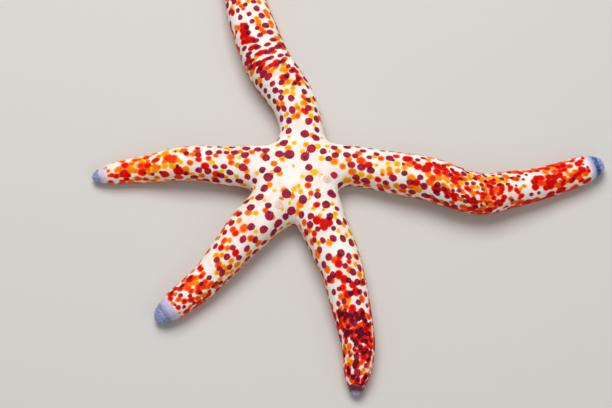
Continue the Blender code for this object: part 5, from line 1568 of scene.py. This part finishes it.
draw = np.random.default_rng(FOOT_SEED)
roots = []
tips = []
sizes = []
for name, length, side in furrow_places(FOOT_STEP, FOOT_FIRST, FOOT_SPARE):
    root, slim = beside_furrow(name, length, side, FOOT_ASIDE)
    sway = draw.uniform(-FOOT_SWAY, FOOT_SWAY, 2)
    tips.append(root + np.array([sway[0], sway[1], FOOT_CLEAR]))
    root[2] += furrow_roof(ARMS[name], np.array([length]), FOOT_ASIDE * slim)[0] + FOOT_SUNK
    roots.append(root)
    sizes.append(max(slim, FOOT_LEAST) * draw.uniform(*FOOT_SIZES))
roots, tips, sizes = np.array(roots), np.array(tips), np.array(sizes)
grid = round_forms(roots, tips, sizes, FOOT_RINGS, FOOT_SIDES)
cups = tips + (roots - tips) / np.linalg.norm(roots - tips, axis=1)[:, None] * FOOT_CUP * sizes[:, None]
feet = joined_piece("tube_feet", grid, roots, cups)
toe = np.zeros((len(feet.data.vertices) // len(roots), 1))
toe[: grid.shape[1] * FOOT_SIDES, 0] = np.repeat([share for share, _ in FOOT_RINGS], FOOT_SIDES)
toe[-1] = 1.0
feet.data.attributes.new("toe", "FLOAT", "POINT").data.foreach_set("value", np.tile(toe[:, 0], len(roots)))

# Moist soft tissue, nearly clear along the foot and straw coloured at the sucker
TISSUE_STOPS = ((0.0, "#f4e2cf"), (0.75, "#f2dcb8"), (0.95, "#dfae72"))

tissue, tree = new_material("moist_foot_tissue")
toe = add(tree, "Attribute", {"attribute_name": "toe"}).outputs["Fac"]
tint = add(tree, "ValToRGB", {}, {"Fac": toe}, TISSUE_STOPS).outputs["Color"]
surface = add(tree, "BsdfPrincipled", {}, {
    "Base Color": tint, "Roughness": 0.3, "IOR": 1.38, "Subsurface Weight": 0.15,
    "Subsurface Radius": (1.0, 0.6, 0.4), "Subsurface Scale": 0.4 * MM})
add(tree, "OutputMaterial", {}, {"Surface": surface.outputs["BSDF"]})
feet.data.materials.append(tissue)
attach(feet, "root")

# Furrow spines
# The real ones are short blunt limy pegs in skin, a comb of them on each edge of every furrow. They
# stand on the small plates that wall the furrow and lean over the feet.

SPINE_STEP = 0.62
SPINE_FIRST = 2.4
SPINE_SPARE = 0.6
SPINE_ROOT_ASIDE = 1.56
SPINE_TIP_ASIDE = 1.02
SPINE_ROOT_HEIGHT = 0.55
SPINE_CLEAR = 0.03
SPINE_SPREAD = 0.08
SPINE_SIZES = (0.9, 1.1)
SPINE_SIDES = 5
SPINE_SEED = 9

# A spine from root to tip: the share of its length that a ring is at, and the ring's radius
SPINE_RINGS = ((0.0, 0.24), (0.55, 0.22), (0.9, 0.17), (1.0, 0.09))

draw = np.random.default_rng(SPINE_SEED)
roots = []
tips = []
sizes = []
for name, length, side in furrow_places(SPINE_STEP, SPINE_FIRST, SPINE_SPARE):
    root, slim = beside_furrow(name, length, side, SPINE_ROOT_ASIDE)
    tip, _ = beside_furrow(name, length + draw.uniform(-SPINE_SPREAD, SPINE_SPREAD), side, SPINE_TIP_ASIDE)
    root[2] += SPINE_ROOT_HEIGHT * slim
    tip[2] += SPINE_CLEAR
    roots.append(root)
    tips.append(tip)
    sizes.append(max(slim, FOOT_LEAST) * draw.uniform(*SPINE_SIZES))
roots, tips, sizes = np.array(roots), np.array(tips), np.array(sizes)
grid = round_forms(roots, tips, sizes, SPINE_RINGS, SPINE_SIDES)
comb = joined_piece("furrow_spines", grid, roots, tips)

# Limy pegs in thin skin: the same porcelain as the ground of the hide, a little yellower, satin
PEG_STOPS = ((0.35, "#f6ead8"), (0.65, "#e9c9a6"))
PEG_FLECK = 0.8

pegs, tree = new_material("skinned_calcite_pegs")
place = add(tree, "TexCoord").outputs["Object"]
flecks = add(tree, "TexNoise", {}, {
    "Vector": place, "Scale": 1 / (PEG_FLECK * MM), "Detail": 2.0}).outputs["Fac"]
tint = add(tree, "ValToRGB", {}, {"Fac": flecks}, PEG_STOPS).outputs["Color"]
surface = add(tree, "BsdfPrincipled", {}, {"Base Color": tint, "Roughness": 0.5, "IOR": 1.5})
add(tree, "OutputMaterial", {}, {"Surface": surface.outputs["BSDF"]})
comb.data.materials.append(pegs)
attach(comb, "root")

# Mouth
# The real one is a round opening in a soft puckered film, set back between five jaws. Each jaw carries
# a tuft of stouter spines that lean over it.

# How far from the middle and how far aside each peg of a jaw is rooted, how far it leans in, and how
# much nearer together the tips are
JAW_PEGS = ((2.5, 0.36), (2.5, -0.36), (3.1, 0.75), (3.1, 0.0), (3.1, -0.75))
JAW_LEAN = 0.8
JAW_GATHER = 0.8
JAW_ROOT_HEIGHT = 0.6
JAW_TIP_HEIGHT = 0.2
JAW_SIDES = 7
JAW_RINGS = ((0.0, 0.3), (0.5, 0.28), (0.85, 0.2), (1.0, 0.09))

FILM_RADIUS = 2.3
FILM_RINGS = 16
FILM_COLUMNS = 60
FILM_PLEATS = 15
FILM_PLEAT_DEPTH = 0.07
FILM_HEIGHT = 2.3
FILM_BULGE = 0.45
FILM_HOLE = 0.5
FILM_PIT = 0.5
FILM_PIT_SHARE = 0.8
FILM_THICK = 0.6

roots = []
tips = []
for arm in ARMS.values():
    bearing = arm["notches"][1][0]
    outward = np.array([math.cos(bearing), math.sin(bearing), 0.0])
    across = np.array([-outward[1], outward[0], 0.0])
    for reach, aside in JAW_PEGS:
        root = outward * reach + across * aside
        tip = outward * (reach - JAW_LEAN) + across * aside * JAW_GATHER
        level = floor_at(arm, np.array([0.0]), root)[0]
        roots.append(root + np.array([0.0, 0.0, level + JAW_ROOT_HEIGHT]))
        tips.append(tip + np.array([0.0, 0.0, JAW_TIP_HEIGHT]))
roots, tips = np.array(roots), np.array(tips)
grid = round_forms(roots, tips, np.ones(len(roots)), JAW_RINGS, JAW_SIDES)
jaws = joined_piece("jaw_spines", grid, roots, tips)
jaws.data.materials.append(pegs)
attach(jaws, "root")


def film_points():
    """Rings of the mouth's film, from the pit over its hole down to the lip and out to its rim: it
    bulges down like a cosine and is drawn into pleats that run to the hole."""
    share = np.linspace(0.0, 1.0, FILM_RINGS)[:, None]
    turns = np.linspace(0.0, 2 * math.pi, FILM_COLUMNS, endpoint=False)[None, :]
    radius = FILM_HOLE + (FILM_RADIUS - FILM_HOLE) * share
    pleats = FILM_PLEAT_DEPTH * np.cos(FILM_PLEATS * turns) * np.sin(math.pi * share)
    height = FILM_HEIGHT - FILM_BULGE * np.cos(share * math.pi / 2) + pleats
    radius = np.concatenate([radius[:1] * FILM_PIT_SHARE, radius])
    height = np.concatenate([height[:1] + FILM_PIT, height])
    return np.stack([radius * np.cos(turns), radius * np.sin(turns), height], axis=2)


grid = film_points()
top = grid[-1].mean(axis=0) + np.array([0.0, 0.0, FILM_THICK])
corners = np.concatenate([grid.reshape(-1, 3), [grid[0].mean(axis=0)], [top]])
film = mesh_piece("mouth_film", corners, rings_and_ends(0, *grid.shape[:2]))
film.data.materials.append(tissue)
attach(film, "root")

# Floor, light and camera
# The model lies on a plain pale floor under one broad soft light from above and behind, with a weak
# one from the front, and is seen from where the photo was taken.

FLOOR_SIZE = 3.0
FLOOR_COLOUR = "#d0cec9"
FLOOR_CORNERS = ((-1, -1), (1, -1), (1, 1), (-1, 1))

# The place of each light from the point aimed at, its size and its power
LIGHTS = {
    "key": ((-0.05, 0.22, 0.5), 0.35, 2.6),
    "fill": ((0.25, -0.35, 0.4), 0.5, 0.5),
}
SKY = 0.27

# The camera, in millimetres and degrees, with its sensor's width and the nearest it sees, in metres
CAMERA_ELEVATION = 66.0
CAMERA_DISTANCE = 339.6
CAMERA_ASIDE = (2.35, -6.345)
CAMERA_AIM_HEIGHT = 4.0
CAMERA_LENS = 85.0
CAMERA_SENSOR = 36.0
CAMERA_NEAREST = 0.01

floor_mesh = bpy.data.meshes.new("floor")
floor_corners = [(x * FLOOR_SIZE / 2, y * FLOOR_SIZE / 2, 0.0) for x, y in FLOOR_CORNERS]
floor_mesh.from_pydata(floor_corners, [], [(0, 1, 2, 3)])
floor = bpy.data.objects.new("floor", floor_mesh)
bpy.context.collection.objects.link(floor)
floor_finish, tree = new_material("matt_studio_floor")
surface = add(tree, "BsdfPrincipled", {}, {"Base Color": colour(FLOOR_COLOUR), "Roughness": 0.8})
add(tree, "OutputMaterial", {}, {"Surface": surface.outputs["BSDF"]})
floor.data.materials.append(floor_finish)

world = bpy.data.worlds.new("studio")
world.use_nodes = True
world.node_tree.nodes["Background"].inputs["Color"].default_value = (1.0, 1.0, 1.0, 1.0)
world.node_tree.nodes["Background"].inputs["Strength"].default_value = SKY
bpy.context.scene.world = world
bpy.context.scene.view_settings.view_transform = "Standard"
aim = Vector(to_world(np.array([0.0, 0.0, CAMERA_AIM_HEIGHT])))
for name, (spot, size, power) in LIGHTS.items():
    lamp = bpy.data.lights.new(name, "AREA")
    lamp.size = size
    lamp.energy = power
    light = bpy.data.objects.new(name, lamp)
    light.location = aim + Vector(spot)
    light.rotation_euler = (aim - light.location).to_track_quat("-Z", "Y").to_euler()
    bpy.context.collection.objects.link(light)

elevation = math.radians(CAMERA_ELEVATION)
forward = Vector((0.0, math.cos(elevation), -math.sin(elevation)))
upward = Vector((0.0, math.sin(elevation), math.cos(elevation)))
lens = bpy.data.cameras.new("camera")
lens.lens = CAMERA_LENS
lens.sensor_width = CAMERA_SENSOR
lens.clip_start = CAMERA_NEAREST
camera = bpy.data.objects.new("camera", lens)
from_aim = Vector((CAMERA_ASIDE[0], 0, 0)) + upward * CAMERA_ASIDE[1] - forward * CAMERA_DISTANCE
camera.location = aim + from_aim * MM
camera.rotation_euler = forward.to_track_quat("-Z", "Y").to_euler()
bpy.context.collection.objects.link(camera)
bpy.context.scene.camera = camera
